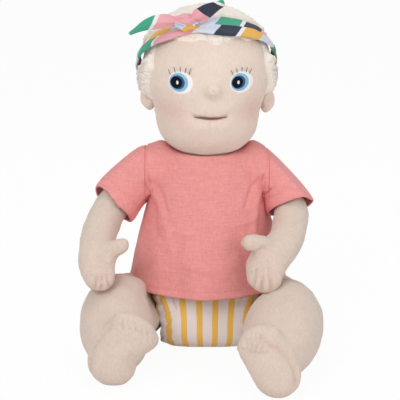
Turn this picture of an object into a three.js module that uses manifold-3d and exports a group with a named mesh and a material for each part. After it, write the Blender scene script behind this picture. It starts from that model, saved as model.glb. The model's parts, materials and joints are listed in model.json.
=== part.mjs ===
// A seated soft baby doll with a shirt, a striped nappy and a knotted headscarf
// Millimetres, +Z up. The doll faces -Y, sits on z = 0, and its own left is +X
import * as THREE from 'three';
import { mergeVertices } from 'three/addons/utils/BufferGeometryUtils.js';
import Module from 'manifold-3d';

const wasm = await Module();
wasm.setup();

// Cloth thicknesses and clearances
const seamGap = 0.3;
const swingGap = 0.5;
const scarfGap = 0.95;
const skinThick = 1.6;
const shirtThick = 1.6;
const nappyThick = 2;
const scarfThick = 2.2;
const threadThick = 0.8;
const stripThick = 0.8;
const floorCut = 0.5;

// Neck: a domed body top that sits in a round hollow under the head
const neck = { height: 188, radius: 23.4, mouth: 12 };

// Head, measured up from the neck's turning point; wide and deep are half sizes
const head = {
  yaw: 5,
  jawRise: 34,
  jawWide: 48,
  jawDeep: 50,
  jawDrop: 41,
  cheekRise: 62,
  cheekWide: 57.5,
  browRise: 74,
  wide: 58,
  deep: 58,
  crown: 53,
};
const jawForward = 4;
const hairThick = 6.5;
const hairline = { rise: 104, temple: 24, templeRise: 78, earRise: 54, napeRise: 17 };

// Face parts, placed across from the middle of the face and up from the neck
const eye = { across: 27, rise: 69, white: 10.5, iris: 8, irisShift: -1.8, pupil: 5.4, pupilShift: -3.6 };
const nose = { rise: 61, wide: 8, high: 6, proud: 4.5 };
const mouth = { across: -2, rise: 37, wide: 30, high: 3.4 };
const ear = { rise: 41, back: 5, out: 7, deep: 9.5, high: 11.5 };

// Headscarf: a band laid round the head on a slant, with a knot and two tails in front
const scarf = { rise: 82, slant: 45, wide: 22 };
const knot = { across: -18, wide: 13, high: 7.5, deep: 8 };
const tail = { wide: 7, tip: 2.4 };

// Shoulders and arms; each arm's places run out from the shoulder, then back, then up
const shoulder = { across: 54, back: 2, height: 164, root: 18.5, inner: 13 };
const upperArm = 18;
const elbow = 17.5;
const palm = { wide: 17.8, thick: 12 };
const fingers = { wide: 15.2, thick: 10, round: 8 };
const restingArm = {
  upper: [21, -4, -14],
  hem: [36, -16, -33],
  elbow: [45, -38, -49],
  fore: [47, -62, -61],
  palm: [46, -81, -70],
  fingers: [43, -93, -77],
  thumb: { root: [34, -77, -64], middle: [26, -77, -59], tip: [21, -77, -56], radius: 7 },
};
const raisedArm = {
  upper: [20, -6, -14],
  hem: [25, -18, -33],
  elbow: [23, -36, -43],
  fore: [17, -58, -55],
  palm: [-1, -82, -66],
  fingers: [-2, -93, -73],
  thumb: { root: [2, -72, -55], middle: [-8, -79, -51], tip: [-16, -82, -50], radius: 7.5 },
};

// Hips and legs; each leg's places run out from the hip, then back, then up
const hip = { across: 62, height: 32, inner: 36, wide: 30, high: 31.5, splay: 5.7 };
const leftLegStretch = 1.16;
const thigh = { at: [8, -35, 5], wide: 32, high: 35 };
const knee = { at: [12, -70, 8.5], wide: 35.5, high: 41 };
const shin = { at: [10, -103, 5], wide: 33, high: 36.5 };
const ankle = { at: [6, -124, -1], wide: 27, high: 29 };
const heel = { at: [10, -138, -10.5], wide: 23, thick: 15, drop: 22 };
const toes = { at: [-2, -139, 18], wide: 21, thick: 13, rise: 16 };

// Body half sizes at its heights, from the seat to the collar
const body = {
  seat: { height: 28, back: 0, wide: 48, deep: 47 },
  belly: { height: 72, back: 3, wide: 54, deep: 44 },
  waist: { height: 104, back: 4, wide: 54, deep: 43 },
  chest: { height: 138, back: 4, wide: 49, deep: 39 },
  yoke: { height: 156, back: 3, wide: 44, deep: 34 },
  collar: { height: 168, back: 1, wide: 32, deep: 27 },
};
const pelletTop = 62;

// Shirt half sizes at its heights, its hem, its collar opening and its back closure
const shirt = {
  hem: { height: 58, back: -6, wide: 74, deep: 64 },
  skirt: { height: 95, back: -2, wide: 67, deep: 60 },
  chest: { height: 131, back: 2, wide: 57, deep: 53 },
  yoke: { height: 152, back: 5, wide: 56, deep: 46 },
  top: { height: 174.5, back: 4, wide: 51, deep: 36 },
};
const shirtRise = 12;
const shirtCollar = 31;
const armhole = { across: 57, inner: 49, radius: 24 };
const sleeve = { root: 23, hem: 23.8 };
const closure = { lap: 8, strip: 6.5, foot: 70, head: 176 };

// Nappy: waist height, and the tabs that close it at the sides
const nappy = { height: 70 };
const nappyTab = { inner: 20, low: 40, high: 66, tilt: 28 };

// Curve detail: sides round a form, rings on each dome and rings along the middle.
// The inside keeps to lines of the outside, so a wall is never thinner than its cloth
const outside = { sides: 16, dome: 4, along: 6 };
const inside = { sides: 8, dome: 2, along: 6 };
const turningRoom = 1.02;

const looks = {
  velour: { color: 0xdcc6b8, roughness: 0.95 },
  fleece: { color: 0xe6d8ca, roughness: 1 },
  coral: { color: 0xef9e9b, roughness: 0.9 },
  stripes: { color: 0xecd9b8, roughness: 0.9 },
  print: { color: 0x8fb5a6, roughness: 0.85 },
  filling: { color: 0xf3efe6, roughness: 1 },
  pellets: { color: 0xd9d3c4, roughness: 0.7 },
  whiteThread: { color: 0xf3efed, roughness: 0.6 },
  blueThread: { color: 0x8fc3dd, roughness: 0.6 },
  darkThread: { color: 0x2a2630, roughness: 0.6 },
  mouthThread: { color: 0x92615c, roughness: 0.7 },
  strip: { color: 0xefe4df, roughness: 0.9 },
};

const acrossX = new THREE.Vector3(1, 0, 0);
const upZ = new THREE.Vector3(0, 0, 1);
const radians = THREE.MathUtils.degToRad;
const reach = 400;

// A closed three.js geometry as a solid that can be cut and joined
function solid(geometry) {
  geometry.deleteAttribute('normal');
  geometry.deleteAttribute('uv');
  const merged = mergeVertices(geometry, 1e-4);
  const vertProperties = new Float32Array(merged.attributes.position.array);
  const triVerts = new Uint32Array(merged.index.array);
  return new wasm.Manifold(new wasm.Mesh({ numProp: 3, vertProperties, triVerts }));
}

// A soft form: rings laid along a curve through its stations, with a dome past each end
function softForm(form, grow = 0, detail = outside) {
  const { stations, domes, across = acrossX } = form;
  const centres = new THREE.CatmullRomCurve3(stations.map((s) => new THREE.Vector3(...s.at)));
  const halves = new THREE.CatmullRomCurve3(stations.map((s) => new THREE.Vector3(s.wide, s.deep, 0)));
  const { sides, dome } = detail;
  const rings = 2 * dome + detail.along;
  const grid = new THREE.SphereGeometry(1, sides, rings);
  const position = grid.attributes.position;
  for (let row = 0; row <= rings; row += 1) {
    const fromStart = Math.min(row / dome, 1) * (Math.PI / 2);
    const fromEnd = Math.min((rings - row) / dome, 1) * (Math.PI / 2);
    const along = THREE.MathUtils.clamp((row - dome) / detail.along, 0, 1);
    const heading = centres.getTangent(along);
    const side = across.clone().addScaledVector(heading, -across.dot(heading)).normalize();
    const top = heading.clone().cross(side);
    const half = halves.getPoint(along);
    const round = Math.sin(fromStart) * Math.sin(fromEnd);
    const past = Math.cos(fromEnd) * (domes[1] + grow) - Math.cos(fromStart) * (domes[0] + grow);
    const centre = centres.getPoint(along).addScaledVector(heading, past);
    for (let column = 0; column <= sides; column += 1) {
      const turn = ((column % sides) / sides) * 2 * Math.PI;
      const point = centre.clone();
      point.addScaledVector(side, -Math.cos(turn) * round * (half.x + grow));
      point.addScaledVector(top, Math.sin(turn) * round * (half.y + grow));
      position.setXYZ(row * (sides + 1) + column, point.x, point.y, point.z);
    }
  }
  return solid(grid);
}

function box(low, high) {
  const size = high.map((value, i) => value - low[i]);
  const middle = high.map((value, i) => (value + low[i]) / 2);
  return solid(new THREE.BoxGeometry(...size).translate(...middle));
}

function ball(centre, radius, sides = 16) {
  return solid(new THREE.SphereGeometry(radius, sides, sides / 2).translate(...centre));
}

function ellipsoid(centre, halves, sides = 14) {
  const geometry = new THREE.SphereGeometry(1, sides, sides / 2).scale(...halves);
  return solid(geometry.translate(...centre));
}

// A round bar along X (the hinge direction of shoulders and hips)
function barAcross(from, to, y, z, radius, sides = 20) {
  const bar = new THREE.CylinderGeometry(radius, radius, Math.abs(to - from), sides);
  return solid(bar.rotateZ(Math.PI / 2).translate((from + to) / 2, y, z));
}

// A round bar along Y, through the face
function barThrough(x, z, radius, sides = 14) {
  const bar = new THREE.CylinderGeometry(radius, radius, reach, sides);
  return solid(bar.translate(x, -reach / 2, z));
}

// A round bar that stands on a height and runs up out of the doll
function barUp(from, radius, sides) {
  const bar = new THREE.CylinderGeometry(radius, radius, reach, sides);
  return solid(bar.rotateX(Math.PI / 2).translate(0, 0, from + reach / 2));
}

// All the space between the middle of the doll and a plane at x = inner on one side
function inwardOf(side, inner, low = [-reach, -reach]) {
  return box([side > 0 ? -reach : -inner, ...low], [side > 0 ? inner : reach, reach, reach]);
}

// All the space outward of a plane at x = outer on one side, above a height
function outwardOf(side, outer, above) {
  return box([side > 0 ? outer : -reach, -reach, above], [side > 0 ? reach : -outer, reach, reach]);
}

// A prism along X from an outline drawn in the side view
function sidePrism(outline, from, to) {
  const shape = new THREE.Shape(outline.map(([y, z]) => new THREE.Vector2(y, z)));
  const prism = new THREE.ExtrudeGeometry(shape, { depth: to - from, bevelEnabled: false });
  const upright = new THREE.Matrix4().makeBasis(new THREE.Vector3(0, 1, 0), upZ, acrossX);
  return solid(prism.applyMatrix4(upright).translate(from, 0, 0));
}

// Adds a named mesh, without the crumbs that a cut can leave beside the piece
function addPiece(group, name, shape, look) {
  const largestFirst = shape.decompose().sort((a, b) => b.volume() - a.volume());
  const { vertProperties, triVerts, numProp } = largestFirst[0].getMesh();
  const geometry = new THREE.BufferGeometry();
  const buffer = new THREE.InterleavedBuffer(new Float32Array(vertProperties), numProp);
  geometry.setAttribute('position', new THREE.InterleavedBufferAttribute(buffer, 3, 0));
  geometry.setIndex(new THREE.BufferAttribute(new Uint32Array(triVerts), 1));
  const mesh = new THREE.Mesh(geometry, new THREE.MeshStandardMaterial(looks[look]));
  mesh.name = name;
  group.add(mesh);
}

const belowFloor = box([-reach, -reach, -reach], [reach, reach, 0]);

const doll = new THREE.Group();
const headGroup = new THREE.Group();
headGroup.rotation.z = radians(head.yaw);
doll.add(headGroup);

// Forms of the head and hair
const jawHeight = neck.height + head.jawRise;
const headForm = {
  stations: [
    { at: [0, -jawForward, jawHeight], wide: head.jawWide, deep: head.jawDeep },
    { at: [0, -jawForward / 3, neck.height + head.cheekRise], wide: head.cheekWide, deep: head.deep },
    { at: [0, 0, neck.height + head.browRise], wide: head.wide, deep: head.deep },
  ],
  domes: [head.jawDrop, head.crown],
};
const headSolid = softForm(headForm);
const onHair = hairThick + scarfGap;
const neckSeamInner = (neck.radius + seamGap) * turningRoom;
const neckSocket = (neckSeamInner + threadThick + seamGap) * turningRoom;

// Each body form's stations stand on the body's own heights
function bodyStation({ height, back, wide, deep }) {
  return { at: [0, back, height], wide, deep };
}

const neckStation = { at: [0, 0, neck.height], wide: neck.radius, deep: neck.radius };
const bodyForm = {
  stations: [...Object.values(body).map(bodyStation), neckStation],
  domes: [body.seat.height - nappyThick - seamGap + floorCut, neck.radius],
};

const shirtForm = {
  stations: Object.values(shirt).map(bodyStation),
  domes: [shirt.hem.height / 4, shirtRise],
};

// The space a leg sweeps beside the pelvis, from sitting to hanging straight down
function legSweep(side, clearance, inner) {
  const round = hip.high + clearance;
  const outline = [];
  for (let step = 0; step <= 8; step += 1) {
    const turn = (step / 8) * (Math.PI / 2);
    outline.push([Math.cos(turn) * round, hip.height + Math.sin(turn) * round]);
  }
  const kneeTop = hip.height + knee.at[2] + knee.high + clearance;
  outline.push([knee.at[1], kneeTop + clearance]);
  outline.push([knee.at[1], -knee.high]);
  outline.push([round, -knee.high]);
  const [from, to] = side > 0 ? [inner, reach] : [-reach, -inner];
  return sidePrism(outline, from, to);
}

// A leg's stations swung about the hip: the doll's right leg splays out, its left one in
function legPlace(side, at) {
  const out = radians(side > 0 ? -hip.splay : hip.splay);
  const [away, back, up] = at;
  const ahead = side > 0 ? back * leftLegStretch : back;
  const x = away * Math.cos(out) - ahead * Math.sin(out);
  const y = away * Math.sin(out) + ahead * Math.cos(out);
  return [side * (hip.across + x), y, hip.height + up];
}

function legForms(side) {
  const rootStation = { at: legPlace(side, [0, 0, 0]), wide: hip.wide, deep: hip.high };
  const station = ({ at, wide, high, thick }) => ({
    at: legPlace(side, at),
    wide,
    deep: high ?? thick,
  });
  return {
    limb: {
      stations: [rootStation, ...[thigh, knee, shin, ankle].map(station)],
      domes: [hip.high, ankle.wide * 0.6],
    },
    foot: { stations: [heel, toes].map(station), domes: [heel.drop, toes.rise] },
  };
}

function legSolid(side, grow, detail, inner = hip.inner) {
  const { limb, foot } = legForms(side);
  const beside = inwardOf(side, inner, [knee.at[1] * 0.8, -reach]);
  const footDetail = { ...detail, along: detail.along / 3 };
  return softForm(limb, grow, detail).add(softForm(foot, grow, footDetail)).subtract(beside);
}

function armForms(side, pose) {
  const place = ([out, back, up]) => [
    side * (shoulder.across + out),
    shoulder.back + back,
    shoulder.height + up,
  ];
  const station = (at, wide, deep = wide) => ({ at: place(at), wide, deep });
  const limb = {
    stations: [
      station([0, 0, 0], shoulder.root),
      station(pose.upper, upperArm),
      station(pose.hem, elbow),
      station(pose.elbow, elbow),
      station(pose.fore, elbow),
      station(pose.palm, palm.wide, palm.thick),
      station(pose.fingers, fingers.wide, fingers.thick),
    ],
    domes: [shoulder.root, fingers.round],
  };
  const { root, middle, tip, radius } = pose.thumb;
  const thumb = {
    stations: [station(root, radius), station(middle, radius), station(tip, radius * 0.85)],
    domes: [radius, radius * 0.8],
    across: upZ,
  };
  const cuff = {
    stations: [
      station([0, 0, 0], sleeve.root),
      station(pose.upper, (sleeve.root + sleeve.hem) / 2),
      station(pose.hem, sleeve.hem),
    ],
    domes: [sleeve.root, 0],
  };
  return { limb, thumb, cuff };
}

function armSolid(side, pose, grow, detail) {
  const { limb, thumb } = armForms(side, pose);
  const beside = inwardOf(side, shoulder.across - shoulder.inner, [-shoulder.root, -reach]);
  const thumbDetail = { sides: 8, dome: detail.dome / 2, along: 2 };
  return softForm(limb, grow, detail).add(softForm(thumb, grow, thumbDetail)).subtract(beside);
}

// A sewn skin with its opening at the root, and the filling inside it
function addSkinAndFilling(name, make) {
  const hollow = make(-skinThick, inside);
  addPiece(doll, `${name}_skin`, make(0, outside).subtract(hollow).subtract(belowFloor), 'velour');
  const filling = make(-skinThick - seamGap, inside);
  const raised = belowFloor.translate([0, 0, skinThick + seamGap]);
  addPiece(doll, `${name}_stuffing`, filling.subtract(raised), 'filling');
}

// Head skin, filling, ears, hair and stitched face
const socket = ball([0, 0, neck.height], neckSocket, 24);
const noseBump = ellipsoid(
  [0, -head.deep - nose.proud / 4, neck.height + nose.rise],
  [nose.wide, nose.proud + 2, nose.high],
);
const headHollow = softForm(headForm, -skinThick, inside);
const headSkin = headSolid.add(noseBump).subtract(headHollow).subtract(socket);
addPiece(headGroup, 'head_skin', headSkin, 'velour');
const headFilling = softForm(headForm, -skinThick - seamGap, inside).subtract(
  ball([0, 0, neck.height], neckSocket + seamGap, 24),
);
addPiece(headGroup, 'head_stuffing', headFilling, 'filling');

const nearHead = softForm(headForm, seamGap);
for (const [name, side] of [['left', 1], ['right', -1]]) {
  const centre = [side * head.jawWide * 1.14, ear.back, neck.height + ear.rise];
  const lobe = ellipsoid(centre, [ear.out, ear.deep, ear.high]);
  addPiece(headGroup, `${name}_ear`, lobe.subtract(nearHead), 'velour');
}

function hairOutline() {
  const { rise, temple, templeRise, earRise, napeRise } = hairline;
  const behindEar = ear.back + ear.deep + 3;
  return [
    [-reach / 2, neck.height + rise + 6],
    [-head.deep * 0.78, neck.height + rise],
    [-temple, neck.height + templeRise],
    [-temple * 0.6, neck.height + earRise],
    [behindEar, neck.height + earRise + 1],
    [behindEar, neck.height + napeRise],
    [reach / 2, neck.height + napeRise],
    [reach / 2, reach],
    [-reach / 2, reach],
  ];
}

const hairOutside = softForm(headForm, hairThick);
const hairShell = hairOutside.subtract(nearHead).intersect(sidePrism(hairOutline(), -reach / 2, reach / 2));
addPiece(headGroup, 'hair_cap', hairShell, 'fleece');

const stitchLayer = softForm(headForm, seamGap + threadThick).subtract(nearHead);
for (const [name, side] of [['left', 1], ['right', -1]]) {
  const x = side * eye.across;
  const z = neck.height + eye.rise;
  const bar = (shift, radius) => barThrough(x + shift, z, radius);
  const white = bar(0, eye.white).subtract(bar(eye.irisShift, eye.iris + seamGap));
  const iris = bar(eye.irisShift, eye.iris).subtract(bar(eye.pupilShift, eye.pupil + seamGap));
  addPiece(headGroup, `${name}_eye_white`, stitchLayer.intersect(white), 'whiteThread');
  addPiece(headGroup, `${name}_iris`, stitchLayer.intersect(iris), 'blueThread');
  addPiece(headGroup, `${name}_pupil`, stitchLayer.intersect(bar(eye.pupilShift, eye.pupil)), 'darkThread');
}
const mouthSlit = box(
  [mouth.across - mouth.wide / 2, -reach, neck.height + mouth.rise - mouth.high / 2],
  [mouth.across + mouth.wide / 2, 0, neck.height + mouth.rise + mouth.high / 2],
);
addPiece(headGroup, 'mouth_stitching', stitchLayer.intersect(mouthSlit), 'mouthThread');

// Headscarf band, knot and tails, which slip off the head together
const bandHeight = neck.height + scarf.rise;
const bandSlab = solid(
  new THREE.BoxGeometry(reach, reach, scarf.wide).rotateX(radians(-scarf.slant)).translate(0, 0, bandHeight),
);
const scarfOutside = softForm(headForm, onHair + scarfThick);
const bandShell = scarfOutside.subtract(softForm(headForm, onHair)).intersect(bandSlab);
addPiece(headGroup, 'headscarf_band', bandShell, 'print');

const crownHeight = neck.height + head.browRise + head.crown + hairThick;
const knotBack = -(head.deep + hairThick) * 0.66;
const knotHeight = bandHeight - knotBack * Math.tan(radians(scarf.slant)) + 1;
const overBand = softForm(headForm, onHair + scarfThick + seamGap);
const knotForm = ellipsoid([knot.across, knotBack, knotHeight], [knot.wide, knot.deep, knot.high]);
addPiece(headGroup, 'headscarf_knot', knotForm.subtract(overBand), 'print');

function tailStation(at, wide) {
  return { at, wide, deep: scarfThick / 2 };
}

const tailDetail = { sides: 8, dome: 2, along: 6 };
const leftOfKnot = knot.across - knot.wide;
const rightTail = {
  stations: [
    tailStation([leftOfKnot - 1, knotBack - 3, knotHeight], tail.wide),
    tailStation([leftOfKnot - 20, knotBack - 2, knotHeight - 2], tail.wide),
    tailStation([leftOfKnot - 40, knotBack + 4, knotHeight - 11], tail.tip),
  ],
  domes: [1, 4],
  across: upZ,
};
const leftTail = {
  stations: [
    tailStation([knot.across + 4, knotBack - 2, knotHeight + knot.high + 2], tail.wide),
    tailStation([knot.across + 16, knotBack - 1, crownHeight + 1], tail.wide),
    tailStation([knot.across + 32, knotBack + 2, crownHeight + 7], tail.tip),
  ],
  domes: [1, 4],
  across: upZ,
};
const aroundKnot = ellipsoid(
  [knot.across, knotBack, knotHeight],
  [knot.wide + seamGap, knot.deep + seamGap, knot.high + seamGap],
);
for (const [name, form] of [['right', rightTail], ['left', leftTail]]) {
  const strip = softForm(form, 0, tailDetail).subtract(aroundKnot).subtract(overBand);
  addPiece(headGroup, `headscarf_${name}_tail`, strip, 'print');
}

// Neck seam, the ring of stitches that the head turns on
const neckSeamRise = radians(10);
function seamPoint(radius, turn) {
  return new THREE.Vector2(radius * Math.cos(turn), radius * Math.sin(turn));
}
const neckSeamProfile = [
  seamPoint(neckSeamInner, 0),
  seamPoint(neckSeamInner + threadThick, 0),
  seamPoint(neckSeamInner + threadThick, neckSeamRise),
  seamPoint(neckSeamInner, neckSeamRise),
  seamPoint(neckSeamInner, 0),
];
const neckRing = new THREE.LatheGeometry(neckSeamProfile, 24).rotateX(Math.PI / 2);
addPiece(doll, 'neck_seam', solid(neckRing.translate(0, 0, neck.height)), 'whiteThread');

// Body skin, filling and pellet bag, cut back where the limbs swing
const nappyInner = hip.inner - seamGap;
const bodyInner = nappyInner - nappyThick - seamGap;
const bodyClear = swingGap + nappyThick + seamGap;
const shoulderInner = shoulder.across - shoulder.inner - seamGap;

function limbClearance(shrink) {
  const cuts = [];
  for (const side of [1, -1]) {
    cuts.push(legSweep(side, bodyClear + shrink, bodyInner - shrink));
    const from = side * (shoulderInner - shrink);
    cuts.push(barAcross(from, side * reach, shoulder.back, shoulder.height, shoulder.root + swingGap + shrink));
  }
  return wasm.Manifold.union(cuts);
}

const bodyHollow = softForm(bodyForm, -skinThick, inside).subtract(limbClearance(skinThick));
const neckMouth = barUp(neck.height, neck.mouth, 16);
const bodySkin = softForm(bodyForm).subtract(limbClearance(0)).subtract(bodyHollow).subtract(neckMouth);
addPiece(doll, 'body_skin', bodySkin, 'velour');
const bodyFilling = softForm(bodyForm, -skinThick - seamGap, inside).subtract(
  limbClearance(skinThick + seamGap),
);
const belowPellets = box([-reach, -reach, -reach], [reach, reach, pelletTop]);
addPiece(doll, 'body_stuffing', bodyFilling.subtract(belowPellets), 'filling');
addPiece(doll, 'pellet_bag', bodyFilling.intersect(belowPellets.translate([0, 0, -seamGap])), 'pellets');

// Arms and legs: the doll's left is +X
const limbs = [
  { name: 'left', side: 1, pose: raisedArm },
  { name: 'right', side: -1, pose: restingArm },
];
for (const { name, side, pose } of limbs) {
  addSkinAndFilling(`${name}_arm`, (grow, detail) => armSolid(side, pose, grow, detail));
  addSkinAndFilling(`${name}_leg`, (grow, detail) => legSolid(side, grow, detail));
}

// Shirt: a front panel, two back panels that lap, and the fastening between them
const legsUnderHem = limbs.flatMap(({ side }) => [
  legSolid(side, swingGap, outside, hip.inner - swingGap),
  barAcross(side * (hip.inner - swingGap), side * reach, 0, hip.height, hip.high + 2 * swingGap),
]);
const belowHem = box([-reach, -reach, -reach], [reach, reach, shirt.hem.height + seamGap]);
const collarHole = barUp(shirt.yoke.height, shirtCollar, 24);
const shirtEdge = armhole.across - 2 * seamGap;
const armCuts = limbs.flatMap(({ side }) => [
  barAcross(side * armhole.inner, side * reach, shoulder.back, shoulder.height, armhole.radius),
  barAcross(side * shoulderInner, side * reach, shoulder.back, shoulder.height, shoulder.root + 2 * swingGap),
]);
const besideShirt = limbs.map(({ side }) => outwardOf(side, shirtEdge, shirt.chest.height));
const shirtCuts = wasm.Manifold.union([
  ...legsUnderHem, belowHem, collarHole, ...armCuts, ...besideShirt,
]);

function shirtLayer(outer, inner, detail = outside) {
  return softForm(shirtForm, -outer, detail).subtract(softForm(shirtForm, -inner, detail)).subtract(shirtCuts);
}

const frontHalf = box([-reach, -reach, -reach], [reach, shirt.yoke.back - seamGap / 2, reach]);
const backHalf = box([-reach, shirt.yoke.back + seamGap / 2, -reach], [reach, reach, reach]);
const shirtCloth = shirtLayer(0, shirtThick);
addPiece(doll, 'shirt_front', shirtCloth.intersect(frontHalf), 'coral');

function backStrip(from, to, low = -reach, high = reach) {
  return box([from, shirt.yoke.back, low], [to, reach, high]);
}

const lapEdge = -closure.lap;
const underLap = 2 * shirtThick + 2 * stripThick + 3 * seamGap;
const leftBack = shirtCloth.intersect(backHalf).intersect(backStrip(lapEdge, reach));
addPiece(doll, 'shirt_left_back', leftBack, 'coral');
const rightOuter = shirtCloth.intersect(backHalf).intersect(backStrip(-reach, lapEdge - seamGap));
const riser = shirtLayer(0, underLap).intersect(backStrip(lapEdge - seamGap - shirtThick, lapEdge - seamGap));
const underFlap = shirtLayer(underLap - shirtThick, underLap).intersect(
  backStrip(lapEdge - seamGap - shirtThick, closure.lap));
addPiece(doll, 'shirt_right_back', rightOuter.add(riser).add(underFlap), 'coral');

const hookFrom = shirtThick + seamGap;
const loopFrom = hookFrom + stripThick + seamGap;
const stripPlace = backStrip(-closure.strip, closure.strip, closure.foot, closure.head);
addPiece(doll, 'shirt_hook_strip', shirtLayer(hookFrom, hookFrom + stripThick).intersect(stripPlace), 'strip');
addPiece(doll, 'shirt_loop_strip', shirtLayer(loopFrom, loopFrom + stripThick).intersect(stripPlace), 'strip');

// Sleeves, sewn to the armholes and swinging with the arms
const sleeveDetail = { sides: 16, dome: 3, along: 3 };
for (const { name, side, pose } of limbs) {
  const { cuff } = armForms(side, pose);
  const open = { ...cuff, domes: [sleeve.root, 3 * shirtThick] };
  const tube = softForm(cuff, 0, sleeveDetail).subtract(softForm(open, -shirtThick, sleeveDetail));
  addPiece(doll, `${name}_sleeve`, tube.subtract(inwardOf(side, armhole.across)), 'coral');
}

// Nappy with its two closing tabs
const aboveNappy = box([-reach, -reach, nappy.height], [reach, reach, reach]);
const nappyCuts = wasm.Manifold.union([
  aboveNappy,
  belowFloor,
  ...limbs.map(({ side }) => legSweep(side, swingGap, nappyInner)),
]);
const bodyRoom = softForm(bodyForm, seamGap).subtract(
  wasm.Manifold.union(limbs.map(({ side }) => legSweep(side, bodyClear - seamGap, bodyInner + seamGap))));
const nappyOutside = softForm(bodyForm, seamGap + nappyThick).subtract(nappyCuts);
addPiece(doll, 'nappy', nappyOutside.subtract(bodyRoom), 'stripes');

const tabLayer = softForm(bodyForm, 2 * seamGap + 2 * nappyThick).subtract(
  softForm(bodyForm, 2 * seamGap + nappyThick),
);
for (const { name, side } of limbs) {
  const wide = nappyInner - nappyTab.inner;
  const patch = new THREE.BoxGeometry(wide * 2, reach, nappyTab.high - nappyTab.low);
  patch.translate(0, -reach / 2, 0).rotateY(radians(side * nappyTab.tilt));
  patch.translate(side * (nappyTab.inner + wide), -body.seat.deep / 2, (nappyTab.low + nappyTab.high) / 2);
  addPiece(doll, `nappy_${name}_tab`, tabLayer.intersect(solid(patch)).subtract(nappyCuts), 'stripes');
}

export default doll;
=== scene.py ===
"""Visual model of a seated soft baby doll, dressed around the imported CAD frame.

Shapes are worked out in millimetres and put into Blender in metres. +Z is up, the doll faces -Y,
sits on z = 0, and its own left is +X. Each piece rides on the CAD body that it belongs to.
"""

import json
import logging
import math
from collections.abc import Callable
from dataclasses import dataclass, field
from enum import Enum
from functools import partial, reduce

import bmesh
import bpy
import numpy as np
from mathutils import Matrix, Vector


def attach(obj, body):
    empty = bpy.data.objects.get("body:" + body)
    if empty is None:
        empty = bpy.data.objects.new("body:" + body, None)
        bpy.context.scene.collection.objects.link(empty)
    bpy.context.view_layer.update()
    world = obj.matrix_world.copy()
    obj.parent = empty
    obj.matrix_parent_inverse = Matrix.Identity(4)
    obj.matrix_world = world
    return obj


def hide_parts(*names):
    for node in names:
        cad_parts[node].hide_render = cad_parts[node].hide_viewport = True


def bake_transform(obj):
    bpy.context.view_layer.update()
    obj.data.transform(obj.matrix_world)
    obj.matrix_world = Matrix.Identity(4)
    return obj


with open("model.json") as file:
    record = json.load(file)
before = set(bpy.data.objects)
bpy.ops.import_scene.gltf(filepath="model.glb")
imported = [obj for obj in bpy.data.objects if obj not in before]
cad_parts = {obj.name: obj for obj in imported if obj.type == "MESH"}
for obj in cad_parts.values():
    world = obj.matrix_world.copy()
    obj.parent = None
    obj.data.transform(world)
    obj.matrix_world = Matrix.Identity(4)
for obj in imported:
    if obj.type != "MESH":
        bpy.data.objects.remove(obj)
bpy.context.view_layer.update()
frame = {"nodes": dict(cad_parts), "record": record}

MM = 0.001
# The cloth simulation's pressure and its length in frames.
PRESSURE, FRAMES = 4.0, 20
# How many plane waves make up an unevenness, and how many sides a thread has.
WAVES, THREAD_SIDES = 7, 6
# How near a point counts as lying at a spot of the front view, in millimetres.
NEAR_SPOT = 2.5
CLOTH_MAP = "cloth"
log = logging.getLogger("baby_doll")

Colour = tuple[float, float, float]
Place = tuple[float, float, float]
Spot = tuple[float, float]
Line = tuple[Spot, ...]
Bridge = tuple[str, str, Place, Place]
Array = np.ndarray
Object = bpy.types.Object
Material = bpy.types.Material
Socket = bpy.types.NodeSocket
Inputs = dict[str | int, object]


class Side(Enum):
    """The doll's own left and right, as the sign of X on that side."""

    LEFT = 1
    RIGHT = -1

    @property
    def word(self) -> str:
        """The side's name as the CAD nodes use it."""
        return self.name.lower()


class Weave(Enum):
    """Kinds of cloth surface, as (threads per metre, relief of a thread in metres)."""

    VELOUR = (900.0, 0.00022)
    COTTON = (1500.0, 0.00012)
    FLEECE = (650.0, 0.0006)


# The line of each shoulder from the neck to the sleeve's hem: the plane's normal and its height
SHOULDER_LINE = {Side.LEFT: ((0.7057, 0, 0.7085), 167.8), Side.RIGHT: ((-0.637, 0, 0.7709), 182.7)}


# Surfaces as arrays


@dataclass
class Shell:
    """A surface: points in millimetres, and faces of four point numbers each."""

    points: Array
    faces: Array

    def joined(self, *others: "Shell") -> "Shell":
        """This surface and others as one list of points and faces.

        Args:
            others: The surfaces to add.

        Returns:
            One surface that holds them all, still unconnected.
        """
        shells = (self, *others)
        starts = np.cumsum([0] + [len(s.points) for s in shells[:-1]])
        faces = [s.faces + start for s, start in zip(shells, starts)]
        return Shell(np.vstack([s.points for s in shells]), np.vstack(faces))

    def moved(self, change: Callable[[Array], Array]) -> "Shell":
        """The same faces with every point changed by a function of all points."""
        return Shell(change(self.points), self.faces)

    def turned(self, degrees: float) -> "Shell":
        """The surface turned about the Z axis."""
        return Shell(turned(self.points, degrees), self.faces)


def grid_shell(grid: Array, round_columns: bool = True, round_rows: bool = False) -> Shell:
    """Faces between the neighbours of a grid of points.

    Args:
        grid: Points by row and column.
        round_columns: Whether the last column meets the first.
        round_rows: Whether the last row meets the first.

    Returns:
        The grid as a surface.
    """
    rows, columns = grid.shape[:2]
    down = np.arange(rows if round_rows else rows - 1)
    across = np.arange(columns if round_columns else columns - 1)
    r, c = (side.ravel() for side in np.meshgrid(down, across, indexing="ij"))
    below, beside = (r + 1) % rows, (c + 1) % columns
    corners = [r * columns + c, r * columns + beside, below * columns + beside, below * columns + c]
    return Shell(grid.reshape(-1, 3).astype(float), np.stack(corners, axis=1))


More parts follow.
